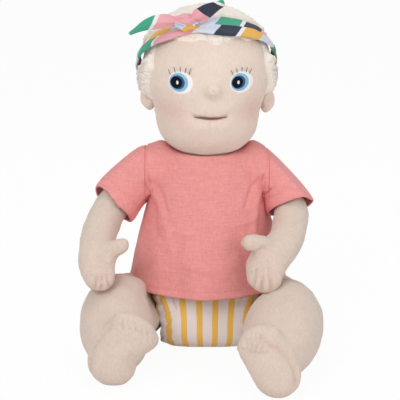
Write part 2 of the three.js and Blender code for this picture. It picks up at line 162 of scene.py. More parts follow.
def curve_through(knots: Array, where: Array) -> Array:
    """Points on the centripetal Catmull-Rom curve through the knots.

    Each span between two knots is a cubic whose end slopes come from the neighbouring knots,
    weighted by the square root of the distances between them, as in the CAD source.

    Args:
        knots: The points that the curve passes, one a row.
        where: Places along the curve, from 0 at the first knot to 1 at the last.

    Returns:
        One point for each place.
    """
    ends = np.vstack([2 * knots[0] - knots[1], knots, 2 * knots[-1] - knots[-2]])
    place = np.clip(where, 0, 1) * (len(knots) - 1)
    first = np.clip(np.floor(place).astype(int), 0, len(knots) - 2)
    w = (place - first)[:, None]
    p0, p1, p2, p3 = (ends[first + k] for k in range(4))
    gaps = [np.linalg.norm(b - a, axis=1, keepdims=True) for a, b in ((p0, p1), (p1, p2), (p2, p3))]
    d0, d1, d2 = (np.sqrt(np.maximum(gap, 1e-6)) for gap in gaps)
    slope1 = ((p1 - p0) / d0 - (p2 - p0) / (d0 + d1) + (p2 - p1) / d1) * d1
    slope2 = ((p2 - p1) / d1 - (p3 - p1) / (d1 + d2) + (p3 - p2) / d2) * d1
    cubic = 2 * p1 - 2 * p2 + slope1 + slope2
    square = -3 * p1 + 3 * p2 - 2 * slope1 - slope2
    return p1 + slope1 * w + square * w**2 + cubic * w**3


def turns(count: int) -> Array:
    """The angles of an even number of places round a ring, in radians."""
    return np.arange(count) / count * 2 * math.pi


def unit(vectors: Array) -> Array:
    """The vectors, each brought to length 1."""
    return vectors / np.maximum(np.linalg.norm(vectors, axis=-1, keepdims=True), 1e-12)


def closed(path: Array) -> Array:
    """The path with its first point once more at its end."""
    return np.vstack([path, path[:1]])


def egg_grid(rows: int, columns: int) -> tuple[Array, Array]:
    """The turn and the tilt of each place on an egg's grid, which runs from pole to pole."""
    return np.meshgrid(turns(columns), np.linspace(0, math.pi, rows))


def rounding(share: Array, power: float) -> Array:
    """The height of a superellipse of unit size at a share of its half width."""
    return np.clip(1 - share**power, 0, 1) ** (1 / power)


def eased(value: Array, low: float, high: float) -> Array:
    """A smooth step from 0 at low to 1 at high (3t squared less 2t cubed)."""
    t = np.clip((value - low) / (high - low), 0, 1)
    return t * t * (3 - 2 * t)


def hump(distance: Array, width: float) -> Array:
    """A bell that is 1 at no distance and falls to 0.37 at the width."""
    return np.exp(-((distance / width) ** 2))


@dataclass(frozen=True)
class Swell:
    """A soft spot of the front view: its middle, its half sizes, its height and its flatness."""

    middle: Spot
    half: Spot
    high: float
    flat: float = 1.0

    def at(self, x: Array, z: Array) -> Array:
        """The height at each place: a bell of the squared offsets' sum, in half sizes, to a power."""
        away = ((x - self.middle[0]) / self.half[0]) ** 2 + ((z - self.middle[1]) / self.half[1]) ** 2
        return self.high * np.exp(-(away**self.flat))


def ripples(points: Array, pitch: float, seed: int) -> Array:
    """Smooth unevenness: a sum of plane waves with seeded directions, about -1 to 1.

    Args:
        points: Where it is wanted, in millimetres.
        pitch: The length of the longest wave.
        seed: Which unevenness it is.

    Returns:
        One value for each point.
    """
    dice = np.random.default_rng(seed)
    heading = unit(dice.normal(size=(WAVES, 3)))
    length = pitch * (0.45 + 0.55 * dice.random(WAVES))
    start = dice.random(WAVES) * 2 * math.pi
    phases = points @ (heading / length[:, None]).T * 2 * math.pi + start
    return np.sin(phases).sum(axis=1) / math.sqrt(WAVES) / 1.6


def under_plane(points: Array, normal: Place, limit: float, soft: float = 2.5) -> Array:
    """The points, pressed under a slanted plane.

    A point's height along the normal is replaced by the limit less a softened remainder: soft
    times the logarithm of one plus the exponential of the room that is left divided by soft.

    Args:
        points: The points.
        normal: The plane's unit normal.
        limit: The plane's height along it.
        soft: How gently the points near the plane give way.

    Returns:
        The pressed points.
    """
    height = points @ np.array(normal)
    lower = limit - soft * np.logaddexp(0, (limit - height) / soft)
    return points + (lower - height)[:, None] * np.array(normal)


def away_from_path(points: Array, path: Array) -> Array:
    """How far each point is from a path of straight steps.

    Args:
        points: The points.
        path: The path's points in order.

    Returns:
        One distance for each point.
    """
    best = np.full(len(points), np.inf)
    for start, end in zip(path[:-1], path[1:]):
        step = end - start
        share = np.clip((points - start) @ step / max(step @ step, 1e-12), 0, 1)
        best = np.minimum(best, np.linalg.norm(points - start - share[:, None] * step, axis=1))
    return best


def turned(points: Array, degrees: float) -> Array:
    """The points turned about the Z axis."""
    c, s = math.cos(math.radians(degrees)), math.sin(math.radians(degrees))
    return points @ np.array([[c, s, 0], [-s, c, 0], [0, 0, 1]])


@dataclass(frozen=True)
class Station:
    """One ring of a soft form: its middle and its two half sizes, in millimetres."""

    at: Place
    wide: float
    deep: float


@dataclass(frozen=True)
class SoftForm:
    """Rings along a curve through stations, with a dome past each end, as in the CAD source."""

    stations: tuple[Station, ...]
    domes: tuple[float, float]
    across: Place = (1.0, 0.0, 0.0)

    def middle(self, where: Array) -> tuple[Array, Array, Array, Array]:
        """The form's middle line at some places along it.

        Args:
            where: The places, from 0 at the first station to 1 at the last.

        Returns:
            The points there, the headings, the side directions and the half sizes.
        """
        knots = np.array([s.at for s in self.stations], float)
        halves = np.array([(s.wide, s.deep, 0.0) for s in self.stations])
        step = 1e-3
        ahead, behind = np.clip(where + step, 0, 1), np.clip(where - step, 0, 1)
        heading = unit(curve_through(knots, ahead) - curve_through(knots, behind))
        across = np.array(self.across, float)
        side = unit(across - heading * (heading @ across)[:, None])
        return curve_through(knots, where), heading, side, curve_through(halves, where)

    def rings(self, sides: int, dome: int, along: int, grow: float = 0.0) -> Array:
        """The form's points by ring and by place round the ring.

        A ring's point is its middle, less the cosine of the turn times the half width to the
        side, plus the sine times the half depth upward. In a dome both shrink as a sine while
        the middle moves out as a cosine.

        Args:
            sides: Points round each ring.
            dome: Rings in each dome.
            along: Rings between the domes.
            grow: How much larger the form is than its stations say.

        Returns:
            The points, by row and column.
        """
        row = np.arange(2 * dome + along + 1)
        from_start = np.minimum(row / dome, 1) * math.pi / 2
        from_end = np.minimum((row[-1] - row) / dome, 1) * math.pi / 2
        centre, heading, side, half = self.middle(np.clip((row - dome) / along, 0, 1))
        past = np.cos(from_end) * (self.domes[1] + grow) - np.cos(from_start) * (self.domes[0] + grow)
        centre = centre + heading * past[:, None]
        size = np.sin(from_start) * np.sin(from_end)
        turn = turns(sides)[None, :, None]
        to_side = side * (size * (half[:, 0] + grow))[:, None]
        to_top = np.cross(heading, side) * (size * (half[:, 1] + grow))[:, None]
        return centre[:, None] + (-np.cos(turn) * to_side[:, None] + np.sin(turn) * to_top[:, None])

    def shell(self, sides: int, dome: int, along: int, grow: float) -> Shell:
        """The form as a closed surface, with as many sides and rings as its rings method takes."""
        return grid_shell(self.rings(sides, dome, along, grow))


def tube(path: Array, radius: Array | float, sides: int = THREAD_SIDES) -> Shell:
    """A round thread along a path, closed at both ends.

    Each ring stands square to the path: its points are the path's point plus the radius times
    the cosine and sine of the turn along two directions at right angles to the heading.

    Args:
        path: The points that it follows.
        radius: Its radius, one number or one for each point.
        sides: Points round it.

    Returns:
        The thread's surface.
    """
    heading = unit(np.gradient(path, axis=0))
    guide = np.array([0.31, -0.2, 0.93])
    side = unit(np.cross(heading, guide))
    top = np.cross(heading, side)
    turn = turns(sides)[None, :, None]
    size = np.broadcast_to(np.asarray(radius, float), (len(path),))[:, None, None]
    ring = path[:, None] + size * (np.cos(turn) * side[:, None] + np.sin(turn) * top[:, None])
    ends = [np.repeat(path[:1], sides, axis=0)[None], np.repeat(path[-1:], sides, axis=0)[None]]
    return grid_shell(np.concatenate([ends[0], ring, ends[1]]))


def stitches(path: Array, length: float, gap: float, radius: float) -> Shell:
    """A row of small stitches that follow a path, each a thread of a few dozen faces.

    Args:
        path: The seam that they follow.
        length: One stitch's length.
        gap: The cloth left between two stitches.
        radius: The thread's radius.

    Returns:
        All the stitches as one surface.
    """
    reach = np.concatenate([[0], np.cumsum(np.linalg.norm(np.diff(path, axis=0), axis=1))])
    count = max(1, int(reach[-1] // (length + gap)))
    rise, swell = np.array([0.0, 0.2, 0.5, 0.8, 1.0]), np.array([0.0, 0.85, 1.0, 0.85, 0.0])
    at = (np.arange(count)[:, None] * (length + gap) + rise * length).ravel()
    line = np.stack([np.interp(at, reach, path[:, k]) for k in range(3)], axis=1)
    whole = tube(line, np.tile(swell * radius, count), THREAD_SIDES)
    row = np.arange(len(whole.faces)) // THREAD_SIDES
    return Shell(whole.points, whole.faces[row % len(rise) != 0])


# Blender meshes


def to_object(name: str, shell: Shell, weld: float = 1e-5) -> Object:
    """Puts a surface into a mesh object, with doubles merged and faces pointing out.

    Args:
        name: The object's name.
        shell: The surface, in millimetres.
        weld: How near two points are merged, in metres.

    Returns:
        The new object, at the origin.
    """
    mesh = bpy.data.meshes.new(name)
    mesh.from_pydata((shell.points * MM).tolist(), [], shell.faces.tolist())
    work = bmesh.new()
    work.from_mesh(mesh)
    bmesh.ops.remove_doubles(work, verts=work.verts, dist=weld)
    bmesh.ops.recalc_face_normals(work, faces=work.faces)
    work.to_mesh(mesh)
    work.free()
    mesh.shade_smooth()
    made = bpy.data.objects.new(name, mesh)
    bpy.context.scene.collection.objects.link(made)
    return made


def read_vectors(mesh: bpy.types.Mesh, kind: str) -> Array:
    """A vector of each of the mesh's points, as it is stored.

    Args:
        mesh: The mesh.
        kind: "co" or "normal".

    Returns:
        One vector a row.
    """
    flat = np.empty(len(mesh.vertices) * 3, np.float32)
    mesh.vertices.foreach_get(kind, flat)
    return flat.reshape(-1, 3)


def read_points(obj: Object) -> Array:
    """The mesh's points in millimetres."""
    return read_vectors(obj.data, "co").astype(float) / MM


def read_normals(obj: Object) -> Array:
    """The mesh's point normals."""
    return read_vectors(obj.data, "normal").astype(float)


def write_points(obj: Object, points: Array) -> None:
    """Puts points, in millimetres, back into the mesh."""
    obj.data.vertices.foreach_set("co", (points * MM).astype(np.float32).ravel())
    obj.data.update()


def paint(obj: Object, name: str, values: Array) -> None:
    """Keeps one number for each point of the mesh under a name that a material can read."""
    layer = obj.data.attributes.new(name, "FLOAT", "POINT")
    layer.data.foreach_set("value", np.asarray(values, np.float32))


def give_uv(obj: Object, flat: Array) -> None:
    """Keeps a flat place for each point of the mesh as its UV map.

    Args:
        obj: The piece.
        flat: The places, in metres.
    """
    corner = np.empty(len(obj.data.loops), np.int32)
    obj.data.loops.foreach_get("vertex_index", corner)
    layer = obj.data.uv_layers.new(name=CLOTH_MAP)
    layer.data.foreach_set("uv", flat[corner].astype(np.float32).ravel())


def modify(obj: Object, kind: str, **settings: object) -> None:
    """Gives the piece one modifier, applies it, and shades what it makes smooth.

    Args:
        obj: The piece.
        kind: The modifier's type.
        settings: Its settings.
    """
    made = obj.modifiers.new(kind.lower(), kind)
    for key, value in settings.items():
        setattr(made, key, value)
    graph = bpy.context.evaluated_depsgraph_get()
    old = obj.data
    obj.data = bpy.data.meshes.new_from_object(obj.evaluated_get(graph))
    obj.modifiers.clear()
    bpy.data.meshes.remove(old)
    obj.data.shade_smooth()


def thicken(obj: Object, thick: float) -> None:
    """Gives a cloth sheet its thickness, in millimetres, inward from its outside."""
    modify(obj, "SOLIDIFY", thickness=thick * MM, offset=-1)


def relax(obj: Object, rounds: int) -> None:
    """Evens a mesh: each point moves halfway to the middle of its neighbours.

    Args:
        obj: The mesh.
        rounds: How many times.
    """
    edge = np.empty(len(obj.data.edges) * 2, np.int32)
    obj.data.edges.foreach_get("vertices", edge)
    a, b = edge.reshape(-1, 2).T
    points = read_points(obj)
    size = len(points)
    count = np.bincount(np.concatenate([a, b]), minlength=size)[:, None]
    for _ in range(rounds):
        sums = [np.bincount(a, p[b], size) + np.bincount(b, p[a], size) for p in points.T]
        points = points + 0.5 * (np.stack(sums, axis=1) / np.maximum(count, 1) - points)
    write_points(obj, points)


def plump(obj: Object, cap: float) -> None:
    """Blows the piece up a little with cloth simulation, as filling does inside a sewn skin.

    Args:
        obj: The piece, remeshed and without other modifiers.
        cap: How far a point may move, in millimetres.
    """
    before = read_points(obj)
    cloth = obj.modifiers.new("filling", "CLOTH").settings
    cloth.quality = 5
    cloth.use_pressure = True
    cloth.uniform_pressure_force = PRESSURE
    cloth.tension_stiffness = 12
    cloth.effector_weights.gravity = 0
    scene = bpy.context.scene
    for number in range(1, FRAMES + 1):
        scene.frame_set(number)
    made = bpy.data.meshes.new_from_object(obj.evaluated_get(bpy.context.evaluated_depsgraph_get()))
    moved = read_vectors(made, "co") / MM - before
    bpy.data.meshes.remove(made)
    obj.modifiers.clear()
    scene.frame_set(1)
    far = np.linalg.norm(moved, axis=1, keepdims=True)
    write_points(obj, before + moved * np.minimum(1, cap / np.maximum(far, 1e-9)))


class Groove(Enum):
    """Kinds of sewn line, as (width, depth, darkness of the painted shade, the painted shade's width),
    lengths in millimetres.
    """

    MOUTH = (1.3, 2.1, 0.8, 1.3)
    CHIN = (0.8, 0.7, 0.5, 0.8)
    NOSE = (1.3, 2.2, 0.65, 1.2)
    NOSE_TIP = (1.2, 1.5, 0.0, 1.0)
    FINGER = (1.8, 3.4, 0.95, 1.2)
    THUMB = (2.6, 2.6, 0.0, 1.0)
    ANKLE = (3.4, 2.4, 0.5, 2.2)
    TOE = (1.5, 1.9, 0.6, 1.1)

    def depth(self, away: Array) -> Array:
        """How far the skin is pressed in at a distance from the line."""
        return self.value[1] * hump(away, self.value[0])

    def dark(self, away: Array) -> Array:
        """How dark the painted shade makes the skin at a distance from the line."""
        return self.value[2] * hump(away, self.value[3])


Seam = tuple[Groove, Line]


@dataclass(frozen=True)
class Filling:
    """How a skin is stuffed: its faces' size, the rounds that even it, its swelling, and its levels."""

    voxel: float
    rounds: int
    cap: float
    levels: int = 1

    def skin(self, name: str, shell: Shell) -> Object:
        """Turns joined closed forms into one even skin, plump with its filling.

        Args:
            name: The piece's name.
            shell: The forms.

        Returns:
            The skin.
        """
        made = to_object(name, shell)
        modify(made, "REMESH", mode="VOXEL", voxel_size=self.voxel * MM)
        relax(made, self.rounds)
        plump(made, self.cap)
        modify(made, "SUBSURF", levels=self.levels, render_levels=self.levels)
        return made


def from_front(points: Array, spots: Array) -> Array:
    """The foremost point of a mesh at each spot of the front view.

    Args:
        points: The mesh's points.
        spots: Spots as (x, z).

    Returns:
        One point for each spot, with the spot's own x and z.
    """
    off = np.linalg.norm(points[None, :, [0, 2]] - spots[:, None], axis=2)
    front = np.where(off < NEAR_SPOT, points[None, :, 1], np.inf).min(axis=1)
    y = np.where(np.isfinite(front), front, points[off.argmin(axis=1), 1])
    return np.stack([spots[:, 0], y, spots[:, 1]], axis=1)


def dense(path: Array, step: float = 1.0) -> Array:
    """A smooth path through a few points, with points about a step apart."""
    length = np.linalg.norm(np.diff(path, axis=0), axis=1).sum()
    return curve_through(path, np.linspace(0, 1, max(3, int(length / step))))


def drawn(points: Array, spots: Line) -> Array:
    """A line that is drawn through spots of the front view, laid on the mesh's points."""
    return from_front(points, dense(np.array(spots, float)))


def sewn(points: Array, normals: Array, *seams: Seam) -> tuple[Array, Array]:
    """The points, pressed in along lines that are drawn in the front view.

    Every point near a line moves against its normal by a bell of its distance from the line.

    Args:
        points: The mesh's points.
        normals: Their normals.
        seams: The lines.

    Returns:
        The moved points, and how dark the painted shade along the lines makes each, from 0 to 1.
    """
    dark = np.zeros(len(points))
    for groove, line in seams:
        away = away_from_path(points, drawn(points, line))
        points = points - normals * groove.depth(away)[:, None]
        # Painted shade along the seam, darkest at its middle.
        dark = np.maximum(dark, groove.dark(away))
    return points, dark


def sew_limb(
    skin: Object, clear: Callable, seams: list[Seam], high: float, pitch: float, seed: int
) -> Array:
    """Presses a limb's seams in and paints shade along them, makes it a little uneven, and keeps it clear
    of its neighbours.

    Args:
        skin: The limb's skin.
        clear: The function that keeps points clear of the neighbours.
        seams: The limb's seams.
        high: How high the unevenness is.
        pitch: The length of its longest wave.
        seed: Which unevenness it is.

    Returns:
        The uneven points, before they are kept clear.
    """
    points, normals = clear(read_points(skin)), read_normals(skin)
    points, dark = sewn(points, normals, *seams)
    points = points + normals * (high * ripples(points, pitch, seed))[:, None]
    write_points(skin, clear(points))
    # Painted shade along the seams, kept as the crease attribute.
    paint(skin, "crease", dark)
    return points


# Finishes


def linear(colour: Colour) -> tuple[float, float, float, float]:
    """A colour as the linear value that a shader takes.

    Args:
        colour: The colour as the eye sees it, of 0 to 255.

    Returns:
        Its red, green and blue from 0 to 1, and 1 for opaque.
    """
    share = np.array(colour, float) / 255
    low, high = share / 12.92, ((share + 0.055) / 1.055) ** 2.4
    return (*np.where(share <= 0.04045, low, high).tolist(), 1.0)


class Recipe:
    """Builds one material, node by node; each call adds a node and gives its result."""

    def __init__(self, name: str) -> None:
        """Starts an empty material with one Principled shader.

        Args:
            name: The material's name.
        """
        self.material = bpy.data.materials.new(name)
        self.material.use_nodes = True
        self.tree = self.material.node_tree
        self.shader = next(n for n in self.tree.nodes if n.type == "BSDF_PRINCIPLED")

    def feed(self, node: bpy.types.Node, inputs: Inputs) -> bpy.types.Node:
        """Links results to a node's inputs, or sets plain values on them.

        Args:
            node: The node.
            inputs: Results and values, by the input's name or number.

        Returns:
            The same node.
        """
        for key, value in inputs.items():
            if isinstance(value, Socket):
                self.tree.links.new(value, node.inputs[key])
            else:
                node.inputs[key].default_value = value
        return node

    def node(self, kind: str, inputs: Inputs | None = None, **settings: object) -> bpy.types.Node:
        """Adds a node.

        Args:
            kind: Its type.
            inputs: What its inputs are fed.
            settings: Its other settings.

        Returns:
            The node.
        """
        made = self.tree.nodes.new("ShaderNode" + kind)
        for key, value in settings.items():
            setattr(made, key, value)
        return self.feed(made, inputs or {})

    def object_place(self) -> Socket:
        """The place on the piece in the doll's own frame."""
        return self.node("TexCoord").outputs["Object"]

    def cloth_place(self) -> Socket:
        """The flat place on the cloth, from the piece's UV map."""
        return self.node("UVMap", uv_map=CLOTH_MAP).outputs["UV"]

    def attribute(self, name: str) -> Socket:
        """The number that the piece keeps for each point under a name."""
        return self.node("Attribute", attribute_name=name).outputs["Fac"]

    def noise(self, where: Socket, scale: float, detail: float = 3.0, rough: float = 0.55) -> Socket:
        """Cloudy unevenness from 0 to 1."""
        inputs = {"Vector": where, "Scale": scale, "Detail": detail, "Roughness": rough}
        return self.node("TexNoise", inputs).outputs["Fac"]

    def cells(self, where: Socket, scale: float) -> Socket:
        """Distance to the nearest of many scattered points, for tufts."""
        return self.node("TexVoronoi", {"Vector": where, "Scale": scale}).outputs["Distance"]

    def stretched(self, where: Socket, by: Place) -> Socket:
        """A place whose X, Y and Z are multiplied, to draw a pattern out in one direction."""
        return self.node("VectorMath", {0: where, 1: by}, operation="MULTIPLY").outputs[0]

    def threads(
        self, where: Socket, weave: Weave, axis: str, wobble: float = 1.5, share: float = 1.0
    ) -> Socket:
        """Parallel threads along one direction, as a wave.

        Args:
            where: The place.
            weave: The kind of cloth.
            axis: The axis that the threads are counted along.
            wobble: How much they waver.
            share: The share of the weave's number of threads.

        Returns:
            A value from 0 to 1.
        """
        scale = weave.value[0] * share / 3.2
        inputs = {"Vector": where, "Scale": scale, "Distortion": wobble, "Detail": 2.0}
        inputs["Detail Scale"] = 0.4
        return self.node("TexWave", inputs, wave_type="BANDS", bands_direction=axis).outputs["Fac"]

    def sum(self, kind: str, first: object, second: object = 0.0) -> Socket:
        """One step of arithmetic."""
        return self.node("Math", {0: first, 1: second}, operation=kind).outputs[0]

    def weighed(self, *parts: tuple[Socket, float]) -> Socket:
        """The sum of some values, each times its weight."""
        return reduce(partial(self.sum, "ADD"), [self.sum("MULTIPLY", *part) for part in parts])

    def spread(self, value: Socket, low: float, high: float) -> Socket:
        """A value between two limits, spread out to run from 0 to 1."""
        inputs = {"Value": value, "From Min": low, "From Max": high}
        return self.node("MapRange", inputs).outputs["Result"]

    def mix(self, share: Socket, first: Socket | Colour, second: Socket | Colour) -> Socket:
        """One colour passing into another; a plain one is of 0 to 255.

        Args:
            share: How far it has passed.
            first: The colour at 0.
            second: The colour at 1.

        Returns:
            The mixed colour.
        """
        pair = {key: linear(c) if isinstance(c, tuple) else c for key, c in (("A", first), ("B", second))}
        made = self.node("Mix", {"Factor": share, **pair}, data_type="RGBA")
        return next(o for o in made.outputs if o.type == "RGBA")

    def blocks(self, value: Socket, stops: tuple[tuple[float, Colour], ...]) -> Socket:
        """A plain colour for each value, read from a row of stops without passing over.

        Args:
            value: The value, from 0 to 1.
            stops: Where each colour begins, and the colour.

        Returns:
            The colour.
        """
        made = self.node("ValToRGB", {0: value})
        row = made.color_ramp
        row.interpolation = "CONSTANT"
        for index, (place, colour) in enumerate(stops):
            stop = row.elements[index] if index < 2 else row.elements.new(place)
            stop.position = place
            stop.color = linear(colour)
        return made.outputs["Color"]

    def relief(self, height: Socket, distance: float, strength: float = 1.0) -> None:
        """Gives the shader's surface a relief of that height, in metres."""
        made = self.node("Bump", {"Height": height, "Distance": distance, "Strength": strength})
        self.feed(self.shader, {"Normal": made.outputs["Normal"]})

    def cloth(self, colour: Socket, rough: float, sheen: float, gloss: float = 0.15) -> Material:
        """Finishes the shader as cloth with a soft edge light.

        Args:
            colour: The cloth's colour.
            rough: Its roughness.
            sheen: How much of the light its nap turns aside.
            gloss: How strongly it reflects.

        Returns:
            The finished material.
        """
        light = {"Roughness": rough, "Specular IOR Level": gloss}
        nap = {"Sheen Weight": sheen, "Sheen Roughness": 0.6}
        self.feed(self.shader, {"Base Color": colour, **light, **nap})
        return self.material


@dataclass(frozen=True)
class Velour:
    """The doll's skin: pale velour with a fine rib, a rosy tint where it is painted on, painted shade in
    seams.
    """

    name: str = "skin_velour"
    pale: Colour = (232, 213, 199)
    deep: Colour = (222, 201, 187)
    rosy: Colour = (219, 172, 163)
    # The colour of the painted shade in seams and hollows.
    shade: Colour = (196, 165, 148)
    fleck: Colour = (246, 234, 222)

    def build(self) -> Material:
        """Builds the material, with attributes "blush" and "crease" (the painted shade in seams and
        hollows) read from the piece.

        Returns:
            The material.
        """
        recipe = Recipe(self.name)
        where = recipe.object_place()
        base = recipe.mix(recipe.noise(where, 90.0, 4.0), self.pale, self.deep)
        base = recipe.mix(recipe.attribute("blush"), base, self.rosy)
        # Painted shade: darker toward the shade colour where the crease attribute is painted.
        base = recipe.mix(recipe.attribute("crease"), base, self.shade)
        ribs = recipe.threads(where, Weave.VELOUR, "X")
        rows = recipe.threads(where, Weave.VELOUR, "Z", share=0.7)
        nap = recipe.noise(where, 1400.0, 3.0, 0.7)
        tufts = recipe.noise(recipe.stretched(where, (1.0, 1.0, 0.6)), 520.0, 4.0, 0.7)
        flecks = recipe.spread(tufts, 0.4, 0.75)
        base = recipe.mix(recipe.weighed((flecks, 0.3)), base, self.fleck)
        height = recipe.weighed((ribs, 0.45), (rows, 0.25), (nap, 0.9))
        recipe.relief(recipe.weighed((height, 0.35), (tufts, 1.3)), Weave.VELOUR.value[1] * 2.2)
        return recipe.cloth(base, 0.95, 0.25)


@dataclass(frozen=True)
class Fleece:
    """Curly cream fleece for the hair."""

    name: str = "hair_fleece"
    pile: Colour = (238, 227, 215)
    fuzz: Colour = (255, 250, 240)

    def build(self) -> Material:
        """Builds the material.

        Returns:
            The material.
        """
        recipe = Recipe(self.name)
        where = recipe.object_place()
        fuzz = recipe.noise(where, Weave.FLEECE.value[0], 5.0, 0.75)
        base = recipe.mix(recipe.weighed((fuzz, 0.22)), self.pile, self.fuzz)
        height = recipe.weighed((fuzz, 1.0), (recipe.cells(where, 330.0), 0.6))
        recipe.relief(height, Weave.FLEECE.value[1])
        return recipe.cloth(base, 1.0, 0.4)


@dataclass(frozen=True)
class Cotton:
    """Plain woven cotton of one colour with a slub, lighter and darker with the weave and the slub."""

    name: str
    light: Colour
    dark: Colour
    sheen: float = 0.12
    slub_pitch: float = 620.0
    long: float = 0.16

    def build(self) -> Material:
        """Builds the material.

        Returns:
            The material.
        """
        recipe = Recipe(self.name)
        where = recipe.object_place()
        warp, weft = (recipe.threads(where, Weave.COTTON, axis, 2.5) for axis in "XZ")
        across, upward = (
            recipe.noise(recipe.stretched(where, by), self.slub_pitch, 3.0, 0.6)
            for by in ((self.long, self.long, 1.0), (1.0, 1.0, self.long))
        )
        slub = recipe.weighed((across, 0.5), (upward, 0.5))
        weave = recipe.weighed((warp, 0.5), (weft, 0.5))
        tone = recipe.spread(recipe.weighed((weave, 0.2), (slub, 0.8)), 0.36, 0.66)
        recipe.relief(recipe.weighed((weave, 0.3), (slub, 1.0)), 0.0009, 0.8)
        return recipe.cloth(recipe.mix(tone, self.dark, self.light), 0.88, self.sheen)


@dataclass(frozen=True)
class Stripes:
    """White cotton with mustard stripes that follow the cloth's own width."""

    name: str = "striped_cotton"
    white: Colour = (250, 240, 238)
    mustard: Colour = (255, 203, 90)
    shade: Colour = (205, 190, 180)
    pitch: float = 0.0149
    share: float = 0.39

    def build(self) -> Material:
        """Builds the material; the stripe's edge wavers by a thread or two.

        Returns:
            The material.
        """
        recipe = Recipe(self.name)
        place = recipe.cloth_place()
        across = recipe.node("SeparateXYZ", {0: place}).outputs[0]
        waver = recipe.sum("MULTIPLY", recipe.noise(place, 900.0, 2.0), 0.0005)
        count = recipe.sum("DIVIDE", recipe.sum("ADD", across, waver), self.pitch)
        turn = recipe.sum("FRACT", recipe.sum("ADD", count, 40.0 + self.share / 2))
        base = recipe.mix(recipe.sum("LESS_THAN", turn, self.share), self.white, self.mustard)
        warp, weft = (recipe.threads(place, Weave.COTTON, axis) for axis in "XY")
        weave = recipe.weighed((warp, 0.5), (weft, 0.5))
        base = recipe.mix(recipe.weighed((weave, 0.1)), base, self.shade)
        recipe.relief(weave, Weave.COTTON.value[1])
        return recipe.cloth(base, 0.88, 0.1)


PINK, WHITE, GREEN = (240, 172, 180), (240, 236, 240), (62, 168, 135)
NAVY, LILAC, MUSTARD = (44, 54, 70), (212, 221, 236), (236, 184, 84)


@dataclass(frozen=True)
class ColourBlocks:
    """Cotton printed with slanting blocks of six plain colours, in two rows."""

    name: str = "printed_cotton"
    length: float = 0.17
    slant: float = 0.7
    shade: Colour = (120, 110, 120)
    upper: tuple[tuple[float, Colour], ...] = (
        (0, PINK), (0.18, WHITE), (0.205, GREEN), (0.36, LILAC), (0.5, MUSTARD),
        (0.64, WHITE), (0.665, NAVY), (0.8, LILAC), (0.9, WHITE), (0.925, PINK),
    )
    lower: tuple[tuple[float, Colour], ...] = (
        (0, LILAC), (0.12, MUSTARD), (0.3, WHITE), (0.325, PINK), (0.52, NAVY),
        (0.66, WHITE), (0.685, GREEN), (0.84, LILAC),
    )

    def build(self) -> Material:
        """Builds the material; its blocks follow the cloth, and its two halves differ.

        Returns:
            The material.
        """
        recipe = Recipe(self.name)
        place = recipe.cloth_place()
        along, across, _ = recipe.node("SeparateXYZ", {0: place}).outputs
        slanted = recipe.weighed((along, 1.0), (across, self.slant))
        turn = recipe.sum("FRACT", recipe.sum("ADD", recipe.sum("DIVIDE", slanted, self.length), 20.0))
        half = recipe.sum("GREATER_THAN", across, 0.0)
        base = recipe.mix(half, recipe.blocks(turn, self.upper), recipe.blocks(turn, self.lower))
        weave = recipe.threads(place, Weave.COTTON, "X")
        base = recipe.mix(recipe.weighed((weave, 0.08)), base, self.shade)
        recipe.relief(weave, Weave.COTTON.value[1])
        return recipe.cloth(base, 0.8, 0.15)


@dataclass(frozen=True)
class Thread:
    """Embroidery thread: satin, with fine strands."""

    name: str
    light: Colour
    dark: Colour
    round_patch: bool = False
    gloss: float = 0.35

    def build(self) -> Material:
        """Builds the material; on a round patch its strands run out from the middle.

        Returns:
            The material.
        """
        recipe = Recipe(self.name)
        if self.round_patch:
            where, scale = recipe.stretched(recipe.cloth_place(), (1.0, 0.16, 1.0)), 1300.0
        else:
            where, scale = recipe.object_place(), 1600.0
        strands = recipe.noise(where, scale, 4.0, 0.7)
        recipe.relief(strands, 0.00012)
        colour = recipe.mix(strands, self.dark, self.light)
        return recipe.cloth(colour, 0.45, self.gloss * 0.3, self.gloss)


@dataclass(frozen=True)
class Pellets:
    """Pale plastic granules, seen as the bag's fill."""

    name: str = "plastic_pellets"
    light: Colour = (226, 220, 206)
    dark: Colour = (190, 182, 166)

    def build(self) -> Material:
        """Builds the material.

        Returns:
            The material.
        """
        recipe = Recipe(self.name)
        grains = recipe.cells(recipe.object_place(), 300.0)
        recipe.relief(grains, 0.001)
        return recipe.cloth(recipe.mix(grains, self.light, self.dark), 0.6, 0.0)


